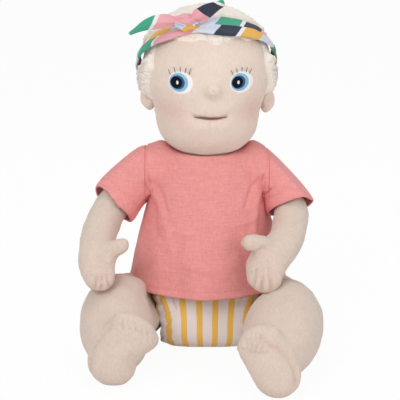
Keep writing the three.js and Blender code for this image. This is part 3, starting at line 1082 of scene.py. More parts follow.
class Wardrobe:
    """Every finish of the doll, built once and handed out by its record slot."""

    def __init__(self) -> None:
        """Builds the finishes."""
        finishes = [
            Velour(),
            # A darker copy of the skin velour for the arms and legs: painted shade, the same velour in
            # less light.
            Velour("shaded_limb_velour", (219, 200, 186), (206, 187, 172)),
            Fleece(),
            Stripes(),
            ColourBlocks(),
            Pellets(),
            Cotton("coral_cotton", (246, 167, 163), (230, 144, 142)),
            Cotton("fibre_filling", (246, 243, 236), (226, 222, 212), 0.3),
            Cotton("fastening_strip", (242, 234, 228), (222, 212, 206), 0.3),
            Thread("white_thread", (250, 247, 246), (226, 222, 226), True),
            Thread("blue_thread", (166, 206, 224), (92, 152, 190), True),
            Thread("dark_thread", (26, 24, 40), (6, 6, 12), True, 0.06),
            Thread("mouth_thread", (156, 88, 86), (84, 52, 50)),
            Thread("seam_thread", (222, 200, 186), (198, 174, 158)),
            Thread("deep_blue_thread", (58, 112, 160), (16, 46, 88), True, 0.15),
            Thread("lash_thread", (116, 102, 100), (84, 72, 72)),
            Thread("coral_thread", (226, 132, 132), (206, 112, 114)),
        ]
        self.made = {finish.name: finish.build() for finish in finishes}

    def settle(
        self,
        obj: Object,
        finish: str,
        body: str | Bridge,
        *nodes: str,
        slot: str | None = None,
        fill: float | None = None,
    ) -> None:
        """Dresses a piece, ties it to its body or leaves a bridging piece in place, hides the CAD nodes
        that it stands for, and reports it.

        Args:
            obj: The piece.
            finish: The finish's name.
            body: The body that it rides on, or the two that it bridges and where.
            nodes: The CAD nodes that it stands for.
            slot: The record's slot, where its name isn't the finish's; not used.
            fill: How tight a padded piece is, from 0 to 1; not used.
        """
        obj.data.materials.clear()
        obj.data.materials.append(self.made[finish])
        if isinstance(body, str):
            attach(obj, body)
        else:
            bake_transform(obj)
        if nodes:
            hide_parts(*nodes)
        log.info("%s: %d points on %s", obj.name, len(obj.data.vertices), body)

    def dress_carried(self) -> None:
        """Gives every CAD node that stays the finish of its record slot."""
        slots = {part["node"]: part["material_slot"] for part in frame["record"]["subparts"]}
        for name, node in frame["nodes"].items():
            for held in node.material_slots:
                held.link = "OBJECT"
                held.material = self.made[slots[name]]


# The head

# Where each ear's middle, each eye's middle and each lash's ends lie, before the head's turn
EAR_MIDDLE = {Side.LEFT: (57.1, 5, 228.5), Side.RIGHT: (-54.7, 5, 233)}
EYE_X = {Side.LEFT: 26.0, Side.RIGHT: -29.0}
LASHES = {
    Side.LEFT: (
        ((-7.6, 8.0), (-3.6, 9.7), (0.6, 10.2), (4.6, 9.4), (7.9, 7.4)),
        ((-9.4, 12.4), (-4.4, 14.0), (1.2, 14.6), (6.2, 13.8), (10.0, 11.8)),
    ),
    Side.RIGHT: (
        ((-8.3, 7.4), (-4.2, 9.7), (0.2, 10.3), (4.2, 9.8), (7.6, 8.2)),
        ((-10.2, 12.2), (-5.2, 14.8), (0.2, 15.2), (5.4, 15.2), (9.6, 14.8)),
    ),
}

# Each tail's places past the knot, the way its width points, its half width, how much it narrows,
# and where it begins on the cloth
TAILS = {
    Side.LEFT: (
        ((6, -3, 2), (15, -4, 6.5), (25, -2, 12), (35, 2, 17)),
        *((-0.35, -0.3, 0.88), 7.6, 0.5, 0.061),
    ),
    Side.RIGHT: (
        ((-8, -1, 0), (-22, -4.5, 0.6), (-37, -3, -3), (-50, 3, -10)),
        *((0.12, -0.35, 0.93), 7.2, 0.74, 0.017),
    ),
}


@dataclass
class Part:
    """A sub-assembly of the doll, with the finishes that its pieces are given."""

    wardrobe: Wardrobe


def inside_outline(spots: Array, outline: Array) -> Array:
    """How deep each spot lies inside a closed outline, negative outside it.

    The distance is to the nearest side; the sign comes from counting the sides that a ray crosses.

    Args:
        spots: Flat places.
        outline: The outline's corners in order.

    Returns:
        One distance for each spot.
    """
    best = np.full(len(spots), np.inf)
    inside = np.zeros(len(spots), bool)
    for start, end in zip(outline, np.roll(outline, -1, axis=0)):
        step = end - start
        share = np.clip((spots - start) @ step / (step @ step), 0, 1)
        best = np.minimum(best, np.linalg.norm(spots - start - share[:, None] * step, axis=1))
        crosses = (start[1] > spots[:, 1]) != (end[1] > spots[:, 1])
        rise = np.where(abs(step[1]) < 1e-9, 1e-9, step[1])
        inside ^= crosses & (spots[:, 0] < start[0] + (spots[:, 1] - start[1]) / rise * step[0])
    return np.where(inside, best, -best)


@dataclass
class Head(Part):
    """Head skin, ears and hair; the face looks a few degrees to the doll's left."""

    yaw: float = 5.0
    form: SoftForm = SoftForm(
        (Station((0, -4, 222), 48, 50), Station((0, -1.33, 250), 57.5, 58), Station((0, 0, 262), 58, 58)),
        (41, 53),
    )
    skin_grow: float = 0.3
    jaw_power: float = 2.5
    neck_height: float = 188.0
    socket: float = 25.4
    give: Spot = (194.0, 220.0)
    nose: Swell = Swell((0, 252), (8.0, 7.2), 7.2, 1.4)
    sockets: Swell = Swell((27, 257), (13, 12), -0.9, 1.5)
    cheeks: Swell = Swell((34, 232), (16, 14), 0.8)
    blush: tuple[Swell, ...] = (
        Swell((-38, 230), (14, 14), 0.5),
        Swell((37, 229.5), (14, 14), 0.58),
        Swell((0, 226), (26, 9), 0.12),
        Swell((0, 200), (30, 14), 0.12),
    )
    mouth_line: Line = ((-16.5, 225.7), (-10, 225.3), (-3, 224.5), (5, 224.5), (13.2, 225.4))
    other_seams: tuple[Seam, ...] = (
        (Groove.CHIN, ((-2.4, 222), (-2.2, 211), (-1.6, 201), (-1.2, 192))),
        (Groove.NOSE, ((-8, 246.5), (-8.8, 252), (-5, 258), (3, 259), (8.4, 255), (8.2, 247))),
        (Groove.NOSE_TIP, ((-0.2, 252), (-0.3, 249), (-0.5, 246))),
    )
    hair_thick: float = 6.5
    hair_wall: float = 1.8
    hair_edge: Line = (
        (-260, 295.5), (-40, 294), (-19, 290), (-28, 268), (-14, 237),
        (17.5, 237), (17.5, 205), (200, 205), (200, 500), (-260, 500),
    )
    curl_count: int = 2600
    farthest: float = 130.0
    ear_half: Place = (7, 9.5, 11.5)
    band_rise: float = 267.5
    band_slant: float = 45.0
    side_rise: float = 6.0
    skin: Object = field(init=False)

    def reach(self, start: Array, heading: Array, grow: float) -> Array:
        """How far from each start the grown head form is met along its heading.

        The form's rings lie almost level, so a point is inside where its offsets from the ring's
        middle, each divided by the ring's half size at that height, have squares that add to
        less than 1. The distance is found by halving.

        Args:
            start: Points inside the form.
            heading: A unit direction for each.
            grow: How much larger the form is than the head.

        Returns:
            One distance for each start.
        """
        rings = self.form.rings(64, 40, 60, grow)
        height, middle = rings[:, :, 2].mean(axis=1), rings[:, :, 1].mean(axis=1)
        sizes = [np.ptp(rings[:, :, k], axis=1) / 2 for k in (0, 1)]
        low, high = np.zeros(len(start)), np.full(len(start), self.farthest)
        for _ in range(40):
            half = (low + high) / 2
            x, y, z = (start + heading * half[:, None]).T
            wide, deep = (np.maximum(np.interp(z, height, size, 0.01, 0.01), 0.01) for size in sizes)
            out = (x / wide) ** 2 + ((y - np.interp(z, height, middle)) / deep) ** 2 > 1
            low, high = np.where(out, low, half), np.where(out, half, high)
        return (low + high) / 2

    def fuller_jaw(self, points: Array) -> Array:
        """Makes the head's lower dome as round as a superellipse.

        Args:
            points: The head's points.

        Returns:
            The moved points.
        """
        low = self.form.stations[0]
        drop = np.clip((low.at[2] - points[:, 2]) / (self.form.domes[0] + self.skin_grow), 0, 0.98)
        wider = rounding(drop, self.jaw_power) / np.sqrt(1 - drop**2)
        middle = np.array([0.0, low.at[1], 0.0])
        size = np.stack([wider, 0.4 + 0.6 * wider, np.ones(len(points))], axis=1)
        return middle + (points - middle) * size

    def build_skin(self) -> None:
        """The stuffed head with its nose, mouth, chin seam and the hollow that the neck fills.

        Each feature is a bell of distance from its place, added along the front-to-back axis or
        along the skin's normal.
        """
        form = self.form.shell(72, 18, 36, self.skin_grow).moved(self.fuller_jaw)
        self.skin = Filling(4.0, 2, 1.2, 2).skin("head", form)
        points = read_points(self.skin)
        x, y, z = points.T
        front = eased(-y, 10, 30)
        lips = hump(np.abs(x + 2), 19) * (hump(z - 231.5, 4.5) * 1.5 + hump(z - 217, 6) * 1.6)
        beside = self.sockets.at(np.abs(x), z) + self.cheeks.at(np.abs(x), z)
        points[:, 1] -= front * (self.nose.at(x, z) + lips + beside)
        write_points(self.skin, points)
        normals = read_normals(self.skin)
        points, _ = sewn(points, normals, (Groove.MOUTH, self.mouth_line))
        for corner in (self.mouth_line[0], self.mouth_line[-1]):
            near = np.linalg.norm(points[:, [0, 2]] - corner, axis=1)
            points = points - normals * (front * 1.2 * hump(near, 3.0))[:, None]
        points, _ = sewn(points, normals, *self.other_seams)
        points = points + normals * (0.25 * ripples(points, 30, 11))[:, None]
        radius = np.linalg.norm(points[:, :2], axis=1)
        hollow = self.neck_height + np.sqrt(np.maximum(self.socket**2 - radius**2, 0))
        under = (radius < self.socket) & (points[:, 2] < 215)
        points[:, 2] = np.where(under, np.maximum(points[:, 2], hollow), points[:, 2])
        self.tint_face(points, front)
        write_points(self.skin, turned(points, self.yaw))
        bodies = ("neck", "head", *((0, 0, height * MM) for height in self.give))
        self.wardrobe.settle(self.skin, "skin_velour", bodies, "head_skin", "head_stuffing", fill=0.9)

    def tint_face(self, points: Array, front: Array) -> None:
        """Keeps rosy cheeks and the painted shade along the seams as attributes of the skin's points.

        Args:
            points: The skin's points before the head's turn.
            front: How far each belongs to the face, from 0 to 1.
        """
        x, _, z = points.T
        rosy = sum(spot.at(x, z) for spot in self.blush)
        dark = sum(
            groove.dark(away_from_path(points, drawn(points, line)))
            for groove, line in ((Groove.MOUTH, self.mouth_line), *self.other_seams)
        )
        paint(self.skin, "blush", np.clip(rosy * front, 0, 1))
        # Painted shade along the mouth, chin and nose seams.
        paint(self.skin, "crease", np.clip(dark * front, 0, 1))

    def build_ear(self, side: Side) -> None:
        """One ear: a rounded lobe on an egg's grid, with a dish pressed into its front.

        Args:
            side: Which ear.
        """
        s = side.value
        turn, tilt = egg_grid(33, 48)
        egg = np.stack([np.cos(turn) * np.sin(tilt), np.sin(turn) * np.sin(tilt), np.cos(tilt)], axis=2)
        ear = grid_shell(egg * self.ear_half)
        dish = np.array([2.0 * s, -8.5, 1.5])
        near = np.linalg.norm((ear.points - dish) * (1.0, 0.8, 0.75), axis=1)
        points = ear.points + np.array([-0.2 * s, 1.0, 0.0]) * (3.4 * hump(near, 4.2))[:, None]
        points = points + unit(points) * (0.3 * ripples(points, 12, 3))[:, None]
        points[:, 0] -= s * 1.5 * eased(-points[:, 2], 3, 11)
        middle = np.array(EAR_MIDDLE[side])
        obj = to_object(f"{side.word}_ear_lobe", Shell(points + middle, ear.faces).turned(self.yaw))
        from_dish = np.linalg.norm(read_points(obj) - turned((dish + middle)[None], self.yaw), axis=1)
        paint(obj, "blush", np.full(len(from_dish), 0.05))
        # Painted shade in the ear's dish.
        paint(obj, "crease", 0.28 * hump(from_dish, 3.5))
        self.wardrobe.settle(obj, "skin_velour", "head", f"{side.word}_ear", fill=0.8)

    def build_hair(self) -> None:
        """The fleece cap: the head form grown by a pile that is curled all over.

        The pile's height rises as a quarter circle from the hairline inward, and on it lie small
        curls: for each point, the nearest of many scattered curl middles gives a dome, less a
        ring whose phase turns with the direction from the middle.
        """
        base = self.form.rings(330, 70, 60)
        outward = self.form.rings(330, 70, 60, 1.0) - base
        shell = grid_shell(base)
        points, heading = shell.points, unit(outward.reshape(-1, 3))
        x, y, z = points.T
        scallop = 2.0 * np.sin(x / 4.8) + 0.9 * np.sin(x / 2.6 + 1) + 1.2 * ripples(points, 16, 5)
        level = np.stack([y, z + (scallop * 0.6 + 2.6 * hump(x - 2, 9))], axis=1)
        deep = inside_outline(level, np.array(self.hair_edge, float))
        edge = np.sqrt(np.maximum(1 - (1 - np.clip(deep / 5.5, 0, 1)) ** 2, 0))
        curl = self.curls(points, heading) * (3.3 - 2.2 * eased(z, 285, 305))
        pile = edge * (self.hair_thick - 1.9 + curl + 0.5 * ripples(points, 14, 8))
        across, beside = self.across_band(points)
        pile = pile * (1 - (0.42 + 0.35 * beside) * (1 - eased(np.abs(across), 10.5, 15)))
        points = points + heading * (np.where(deep > 0, pile, -0.8))[:, None]
        faces = shell.faces[(deep > -3.0)[shell.faces].all(axis=1)]
        used, place = np.unique(faces, return_inverse=True)
        hair = to_object("hair", Shell(points[used], place.reshape(faces.shape)).turned(self.yaw), 1e-6)
        thicken(hair, self.hair_wall)
        self.wardrobe.settle(hair, "hair_fleece", "head", "hair_cap", fill=0.5)

    def across_band(self, points: Array) -> tuple[Array, Array]:
        """How far points lie across the headscarf's band, and how far round to the side.

        Args:
            points: Points on the head.

        Returns:
            The distance across the band, and a share from 0 in front to 1 beside the head.
        """
        tilt = math.radians(self.band_slant)
        x, y, z = points[:, 0], points[:, 1], points[:, 2] - self.band_rise
        forward = z * math.sin(tilt) - y * math.cos(tilt)
        beside = x**2 / (x**2 + forward**2 + 1)
        return y * math.sin(tilt) + z * math.cos(tilt) - self.side_rise * beside, beside

    def curls(self, points: Array, heading: Array) -> Array:
        """The curls' relief for each point.

        Args:
            points: The cap's points.
            heading: Their outward directions.

        Returns:
            Relief from about -0.5 to 1.
        """
        dice = np.random.default_rng(21)
        middles = points[dice.choice(len(points), self.curl_count, replace=False)]
        phase = dice.random(len(middles)) * 2 * math.pi
        level = unit(np.cross(heading, np.array([0.2, 0.1, 1.0])))
        upward = np.cross(heading, level)
        relief = np.zeros(len(points))
        for part in np.array_split(np.arange(len(points)), 24):
            gap = np.linalg.norm(points[part][:, None] - middles[None], axis=2)
            nearest = gap.argmin(axis=1)
            distance = gap[np.arange(len(part)), nearest]
            offset = points[part] - middles[nearest]
            angle = np.arctan2((offset * upward[part]).sum(axis=1), (offset * level[part]).sum(axis=1))
            ring = 0.38 * np.cos(distance / 3.8 * 2 * math.pi + angle + phase[nearest])
            relief[part] = (1 - (distance / 4.4) ** 2) * 0.75 + ring
        return relief


@dataclass
class Face(Part):
    """The embroidery on the face: eyes with lashes, and the mouth's stitches."""

    head: Head
    eye_height: float = 257.4
    white: float = 11.2
    iris: float = 8.7
    iris_shift: float = -1.3
    inner: float = 6.8
    inner_shift: float = -2.2
    pupil: float = 5.7
    pupil_shift: float = -3.3
    glint: Spot = (1.15, 1.9)
    patch_wall: float = 0.9

    def disc(self, name: str, middle: Spot, half: Spot, lift: float) -> Object:
        """A round patch of satin stitches on the skin.

        A fan of rings in the front view is pressed on the skin from in front. Its height over
        the skin is the lift, rounded off toward the rim as a flat-topped dome.

        Args:
            name: The patch's name.
            middle: Its middle, as (x, z) before the head's turn.
            half: Its half width and half height.
            lift: How far it stands out.

        Returns:
            The patch.
        """
        yaw, ahead = self.head.yaw, np.array([0.0, 60.0, 0.0])
        ring, turn = np.meshgrid(np.linspace(0, 1, 15), turns(64), indexing="ij")
        x, z = middle[0] + ring * np.cos(turn) * half[0], middle[1] + ring * np.sin(turn) * half[1]
        fan = grid_shell(np.stack([x, np.full_like(x, -54.0), z], axis=2)).turned(yaw)
        patch = to_object(name, fan.moved(lambda p: p - ahead), 1e-6)
        side, _, up = (turned(read_points(patch) + ahead, -yaw) - (middle[0], 0, middle[1])).T
        modify(
            patch,
            "SHRINKWRAP",
            target=self.head.skin,
            wrap_method="PROJECT",
            use_project_y=True,
            use_positive_direction=True,
        )
        points = turned(read_points(patch), -yaw)
        share, angle = np.hypot(side / half[0], up / half[1]), np.arctan2(up, side)
        points[:, 1] -= lift * np.sqrt(np.maximum(1 - share**8, 0)) - 0.25
        write_points(patch, turned(points, yaw))
        give_uv(patch, np.stack([angle * half[0], share * half[0]], axis=1) * MM)
        thicken(patch, self.patch_wall)
        return patch

    def build_eye(self, side: Side) -> None:
        """One eye: white, pale iris, deep iris, pupil and glint, each a little prouder.

        Args:
            side: Which eye.
        """
        word, size = side.word, 1.05 if side is Side.RIGHT else 1.0
        iris, inner, pupil = ((v, v) for v in (self.iris, self.inner, self.pupil))
        for name, shift, half, lift, finish, slot, *nodes in (
            ("eyeball", 0.3, (self.white, self.white * 0.93), 0.45, "white_thread", None, "eye_white"),
            ("iris_pale", self.iris_shift, iris, 0.7, "blue_thread", None, "iris"),
            ("iris_deep", self.inner_shift, inner, 0.9, "deep_blue_thread", "blue_thread"),
            ("pupil_dark", self.pupil_shift, pupil, 1.1, "dark_thread", None, "pupil"),
            ("glint", self.pupil_shift + 0.7, self.glint, 1.35, "white_thread", None),
        ):
            spot, half = (EYE_X[side] + shift * size, self.eye_height), (half[0] * size, half[1] * size)
            patch = self.disc(f"{word}_{name}", spot, half, lift)
            self.wardrobe.settle(patch, finish, "head", *(f"{word}_{node}" for node in nodes), slot=slot)

    def on_skin(self) -> Array:
        """The skin's points, with the head's turn taken back."""
        return turned(read_points(self.head.skin), -self.head.yaw)

    def build_lashes(self, side: Side) -> None:
        """The lashes over one eye: five single stitches that fan out.

        Args:
            side: Which eye.
        """
        surface, threads = self.on_skin(), []
        middle = np.array([EYE_X[side], self.eye_height - 0.8])
        for begin, end in zip(*LASHES[side]):
            path = from_front(surface, np.linspace(middle + begin, middle + end, 7)) + (0, -0.15, 0)
            threads.append(tube(path, 0.3 * np.array([0.6, 1, 1, 1, 0.95, 0.8, 0.5])))
        shell = threads[0].joined(*threads[1:]).turned(self.head.yaw)
        lashes = to_object(f"{side.word}_lashes", shell, 1e-6)
        self.wardrobe.settle(lashes, "lash_thread", "head", slot="dark_thread")

    def build_mouth(self) -> None:
        """The mouth's stitches: a flattened thread laid in the slit, thickest in its middle."""
        path = dense(from_front(self.on_skin(), np.array(self.head.mouth_line)), 0.5)
        size = 0.3 + 0.75 * np.sin(np.linspace(0, 1, len(path)) * math.pi) ** 1.2
        thread = tube(path + (0, 0.55, 0), size, 10).turned(self.head.yaw)
        mouth = to_object("mouth_thread", thread, 1e-6)
        self.wardrobe.settle(mouth, "mouth_thread", "head", "mouth_stitching")


@dataclass
class Headscarf(Part):
    """The printed band round the head, its knot and its two tails."""

    head: Head
    wide: float = 25.0
    thick: float = 1.2
    over_hair: float = 7.6
    knot: Place = (-23.3, -43.5, 310.6)
    knot_half: Place = (12.2, 8.0, 6.6)

    def build_band(self) -> Object:
        """The band: a closed strip laid round the head in a slanted plane.

        From the middle of the slanted plane a ray goes out at each turn, set off sideways by the
        place across the strip, and meets the hair. The strip narrows toward the knot, where its
        pleats rise; a fold along its middle keeps the upper half lower.

        Returns:
            The band.
        """
        tilt = math.radians(self.head.band_slant)
        square = np.array([0, math.sin(tilt), math.cos(tilt)])
        forward = np.array([0, -math.cos(tilt), math.sin(tilt)])
        turn, across = np.meshgrid(turns(480), np.linspace(-1, 1, 27), indexing="ij")
        turn, across = turn.ravel(), across.ravel()
        at_knot = math.atan2(60, self.knot[0])
        gather = hump(np.abs((turn - at_knot + math.pi) % (2 * math.pi) - math.pi), 0.42)
        at_side = np.cos(turn) ** 2
        half = self.wide / 2 * (1 - 0.42 * gather) * (1 - 0.4 * at_side)
        drift = (self.head.side_rise * at_side + 0.8 * np.sin(2 * turn + 0.7)) * (1 - gather)
        start = np.array([0, 0, self.head.band_rise]) + square * (across * half + drift)[:, None]
        heading = np.cos(turn)[:, None] * np.array([1.0, 0, 0]) + np.sin(turn)[:, None] * forward
        distance = self.head.reach(start, heading, self.over_hair + self.thick)
        pleats = np.sin(across * 6.5 + 1.3 * np.sin(2.1 * turn)) * (0.35 + 0.9 * gather)
        fold = -1.3 * eased(across, 0.02, 0.16) * (1 - 0.5 * gather)
        soft = 0.35 * np.sin(9 * turn + 2 * across) + 0.25 * np.sin(17 * turn - 3 * across)
        rim = -0.9 * np.abs(across) ** 8
        distance = distance + 1.2 - 2.3 * at_side + pleats * 0.8 + fold + soft + rim
        grid = (start + heading * distance[:, None]).reshape(480, 27, 3)
        shell = grid_shell(grid, round_columns=False, round_rows=True)
        band = to_object("headscarf_wrap", shell.turned(self.head.yaw), 1e-7)
        away = (turn - at_knot) / (2 * math.pi) * 0.4
        give_uv(band, np.stack([away, across * self.wide / 2 * MM], axis=1))
        thicken(band, self.thick)
        self.wardrobe.settle(band, "printed_cotton", "headscarf", "headscarf_band")
        return band

    def build_knot(self) -> Object:
        """The knot: an egg whose skin is drawn into slanting folds round its waist.

        Returns:
            The knot.
        """
        turn, tilt = egg_grid(61, 96)
        along = np.cos(tilt)
        ball = np.stack([along, np.sin(tilt) * np.cos(turn), np.sin(tilt) * np.sin(turn)], axis=2)
        folds = 0.13 * np.sin(5 * turn + 3.4 * along) + 0.05 * np.sin(11 * turn - 4 * along)
        waist = 1 + 0.16 * hump(along, 0.35) - 0.1 * np.abs(along)
        points = (ball * (waist + folds * np.sin(tilt))[:, :, None] * self.knot_half).reshape(-1, 3)
        points = points @ np.array([[0.97, 0, -0.22], [0, 1, 0], [0.22, 0, 0.97]]) + self.knot
        shell = grid_shell(points.reshape(ball.shape)).turned(self.head.yaw)
        knot = to_object("headscarf_knot_wrap", shell, 1e-9)
        flat = np.stack([0.02 + along.ravel() * 0.02, (turn.ravel() - math.pi) * 0.008], axis=1)
        give_uv(knot, flat[: len(knot.data.vertices)])
        self.wardrobe.settle(knot, "printed_cotton", "headscarf", "headscarf_knot", fill=0.7)
        return knot

    def build_tail(self, side: Side) -> Object:
        """One tail: a leaf of cloth that leaves the knot, arched across and tapering to its tip.

        Its middle follows a smooth curve; across it, the cloth bends back as a parabola, and two
        pleats fade out toward the tip.

        Args:
            side: Which tail, by the way that it points.

        Returns:
            The tail.
        """
        steps, upward, wide, tip, start = TAILS[side]
        along, across = np.linspace(0, 1, 61), np.linspace(-1, 1, 25)[None]
        line = curve_through(np.array(self.knot) + np.array(steps), along)
        heading = unit(np.gradient(line, axis=0))
        rise = unit(upward - heading * (heading @ np.array(upward))[:, None])
        front = np.cross(heading, rise)
        front = front * np.where(front[:, 1:2] > 0, -1, 1)
        half = wide * (0.6 + 0.4 * eased(along, 0, 0.25)) * (1 - tip * eased(along, 0.4, 1.0))
        arch = -0.16 * half[:, None] * across**2 * 2.2
        pleats = 0.8 * np.sin(across * 5 + 1.0) * (1 - eased(along, 0.1, 0.8))[:, None]
        out = arch + pleats + 0.4 * np.sin(8 * along)[:, None]
        points = line[:, None] + rise[:, None] * (half[:, None] * across)[:, :, None]
        points = points + front[:, None] * out[:, :, None]
        shell = grid_shell(points, round_columns=False).turned(self.head.yaw)
        tail = to_object(f"headscarf_{side.word}_tip", shell, 1e-7)
        flat = np.meshgrid(start + along * 0.05, side.value * 0.012 + across * 0.008, indexing="ij")
        give_uv(tail, np.stack([v.ravel() for v in flat], axis=1))
        thicken(tail, self.thick)
        self.wardrobe.settle(tail, "printed_cotton", "headscarf", f"headscarf_{side.word}_tail")
        return tail

    def build(self) -> None:
        """The whole headscarf: its band, its knot and its two tails."""
        band, knot = self.build_band(), self.build_knot()
        tails = [self.build_tail(side) for side in (Side.RIGHT, Side.LEFT)]


# The body and limbs

BODY_FORM = SoftForm(
    (
        Station((0, 0, 28), 48, 47),
        Station((0, 3, 72), 54, 44),
        Station((0, 4, 104), 54, 43),
        Station((0, 4, 138), 49, 39),
        Station((0, 3, 156), 44, 34),
        Station((0, 1, 168), 32, 27),
        Station((0, 0, 188), 23.4, 23.4),
    ),
    (26.2, 23.4),
)


@dataclass
class Body(Part):
    """The stuffed body under the clothes, and the seam ring that the head turns on."""

    form: SoftForm = BODY_FORM
    hip_inner: float = 33.0
    shoulder_inner: float = 40.4
    widest: float = 80.0
    seam_radius: float = 24.4
    seam_height: float = 190.0
    seam_stitches: int = 40

    def build(self) -> None:
        """The body skin, drawn in where the legs and arms swing beside it."""
        grid = self.form.rings(72, 14, 60, -0.3)
        points = grid.reshape(-1, 3)
        x, y, z = points.T
        inner = self.widest - (self.widest - self.hip_inner) * (1 - eased(z, 70, 84))
        near_arm = eased(-np.hypot(y - 2, z - 164), -23, -19.5)
        inner = np.minimum(inner, self.widest - (self.widest - self.shoulder_inner) * near_arm)
        points[:, 0] = np.clip(x, -inner, inner)
        points[:, 2] = np.maximum(z, 2.4)
        obj = to_object("body", grid_shell(grid))
        for name in ("blush", "crease"):
            paint(obj, name, np.zeros(len(obj.data.vertices)))
        nodes = "body_skin", "body_stuffing", "pellet_bag"
        self.wardrobe.settle(obj, "skin_velour", "torso", *nodes, fill=0.8)

    def build_neck_seam(self) -> None:
        """The ring of stitches round the neck: a thread whose radius swells at each stitch."""
        turn, radius = np.arange(361) / 360 * 2 * math.pi, self.seam_radius
        wave = turn * self.seam_stitches
        path = [radius * np.cos(turn), radius * np.sin(turn), self.seam_height + 0.5 * np.sin(wave)]
        obj = to_object("neck_stitches", tube(np.stack(path, axis=1), 0.42 + 0.12 * np.cos(wave)))
        self.wardrobe.settle(obj, "seam_thread", "neck", "neck_seam")


@dataclass
class Arm(Part):
    """One arm: a bent limb with a thumb, fingers drawn by stitches, and its sleeve."""

    side: Side
    stations: tuple[Place, ...]
    hand: tuple[Spot, Spot]
    thumb: tuple[Place, Place, Place]
    thumb_round: float
    finger_seams: tuple[Line, ...]
    stitch_path: Line
    thumb_notch: Line
    hem_slant: float
    shoulder: Place = (54, 2, 164)
    armhole: float = 57.8
    inner: float = 41.6
    give: Spot = (-0.009, 0.014)
    sleeve_columns: int = 112

    def place(self, at: Place) -> Place:
        """A place by the shoulder, in the doll's frame.

        Args:
            at: The place, measured out, back and up from the shoulder.

        Returns:
            The place in the doll's frame.
        """
        out, back, up = at
        x, y, z = self.shoulder
        return (self.side.value * (x + out), y + back, z + up)

    def forms(self) -> tuple[SoftForm, SoftForm]:
        """The limb and the thumb, with the CAD source's sizes.

        Returns:
            Both forms.
        """
        halves = ((18.5, 18.5), (18, 18), *[(17.5, 17.5)] * 3, *self.hand)
        limb = [Station(self.place(p), *half) for p, half in zip(((0, 0, 0), *self.stations), halves)]
        r = self.thumb_round
        thumb = [Station(self.place(p), size, size) for p, size in zip(self.thumb, (r, r, r * 0.95))]
        return SoftForm(tuple(limb), (18.5, 17)), SoftForm(tuple(thumb), (r, r * 0.95), (0, 0, 1))

    def clear_of_body(self, points: Array) -> Array:
        """The points, kept outside the shirt's inside and under the shoulder line with a sleeve's slack.

        Args:
            points: The arm's points.

        Returns:
            The moved points.
        """
        s = self.side.value
        normal, limit = SHOULDER_LINE[self.side]
        moved = under_plane(points, normal, limit - 3.2)
        x, y, _ = moved.T
        moved[:, 0] = np.where(y > -17, s * np.maximum(x * s, self.inner + 0.5), x)
        return moved

    def build_skin(self) -> None:
        """The stuffed arm, remeshed as one skin, plumped, and sewn between the fingers."""
        limb, thumb = self.forms()
        shell = limb.shell(48, 14, 70, -0.9).joined(thumb.shell(28, 9, 16, -0.6))
        word = self.side.word
        skin = Filling(3.0, 3, 1.6).skin(f"{word}_arm", shell.moved(self.clear_of_body))
        lines = [(Groove.FINGER, line) for line in self.finger_seams] + [(Groove.THUMB, self.thumb_notch)]
        points = sew_limb(skin, self.clear_of_body, lines, 0.35, 22, 30 + self.side.value)
        paint(skin, "blush", 0.16 * eased(-points[:, 1], 60, 95))
        nodes = (f"{word}_arm_skin", f"{word}_arm_stuffing")
        # The arm wears the darker copy of the skin velour, painted shade.
        self.wardrobe.settle(skin, "shaded_limb_velour", f"{word}_arm", *nodes, slot="skin_velour", fill=0.85)
        row = stitches(drawn(points, self.stitch_path), 1.5, 1.1, 0.26)
        obj = to_object(f"{word}_hand_stitches", row, 1e-7)
        self.wardrobe.settle(obj, "seam_thread", f"{word}_arm")

    def sleeve_grid(self) -> tuple[Array, Array, float]:
        """The sleeve's outside, swept from inside the shirt's armhole to the stitched hem.

        Its rings follow the arm. Folds run along it under the arm, as a sine of the turn that
        grows toward the underarm, and the hem flares and rolls in by the cloth's thickness.

        Returns:
            The points by ring and column, their directions from the middle, and the length.
        """
        upper, hem = self.stations[:2]
        rings = (
            ((-11, 0, -1), 14.5),
            ((-4, 0, -0.5), 20.2),
            ((4, -0.5, -0.8), 23.7),
            (upper, 23.2),
            (hem, 22.4),
        )
        stations = tuple(Station(self.place(at), size, size) for at, size in rings)
        form = SoftForm(stations, (1, 1), (0, 1, 0))
        centre, heading, side, half = form.middle(np.linspace(0, 1, 72))
        where, turn = np.linspace(0, 1, 72)[:, None], turns(self.sleeve_columns)[None]
        top = np.cross(heading, side)
        out = -np.cos(turn)[:, :, None] * side[:, None] + np.sin(turn)[:, :, None] * top[:, None]
        under = np.clip(-out[:, :, 2], 0, 1) * eased(where, 0.25, 0.6)
        folds = under * (2.2 * np.sin(3.0 * turn * 2 + 5 * where) + 0.8 * np.sin(15 * turn))
        low = np.clip(0.35 - out[:, :, 2], 0, 1) * hump(where - 0.42, 0.16)
        folds = folds + low * 1.3 * np.sin(where * 46 + 3 * turn)
        drape = 0.7 * np.sin(2 * turn + 6 * where) * eased(where, 0.2, 0.6)
        flare = 0.6 * eased(where, 0.72, 1.0) - 0.8 * eased(where, 0.97, 1.0)
        welt, armhole = -0.35 * hump(where - 0.9, 0.012), -0.5 * hump(where - 0.24, 0.02)
        size = half[:, :1] + folds + drape + flare + welt + armhole
        normal, limit = SHOULDER_LINE[self.side]
        shorter = self.hem_slant * np.clip(out @ np.array(normal), 0, 1) * eased(where, 0.45, 1.0)
        points = centre[:, None] + out * size[:, :, None] - heading[:, None] * shorter[:, :, None]
        points = under_plane(points.reshape(-1, 3), normal, limit + 0.8, 1.2).reshape(points.shape)
        return points, out, float(np.linalg.norm(np.diff(centre, axis=0), axis=1).sum()) * MM

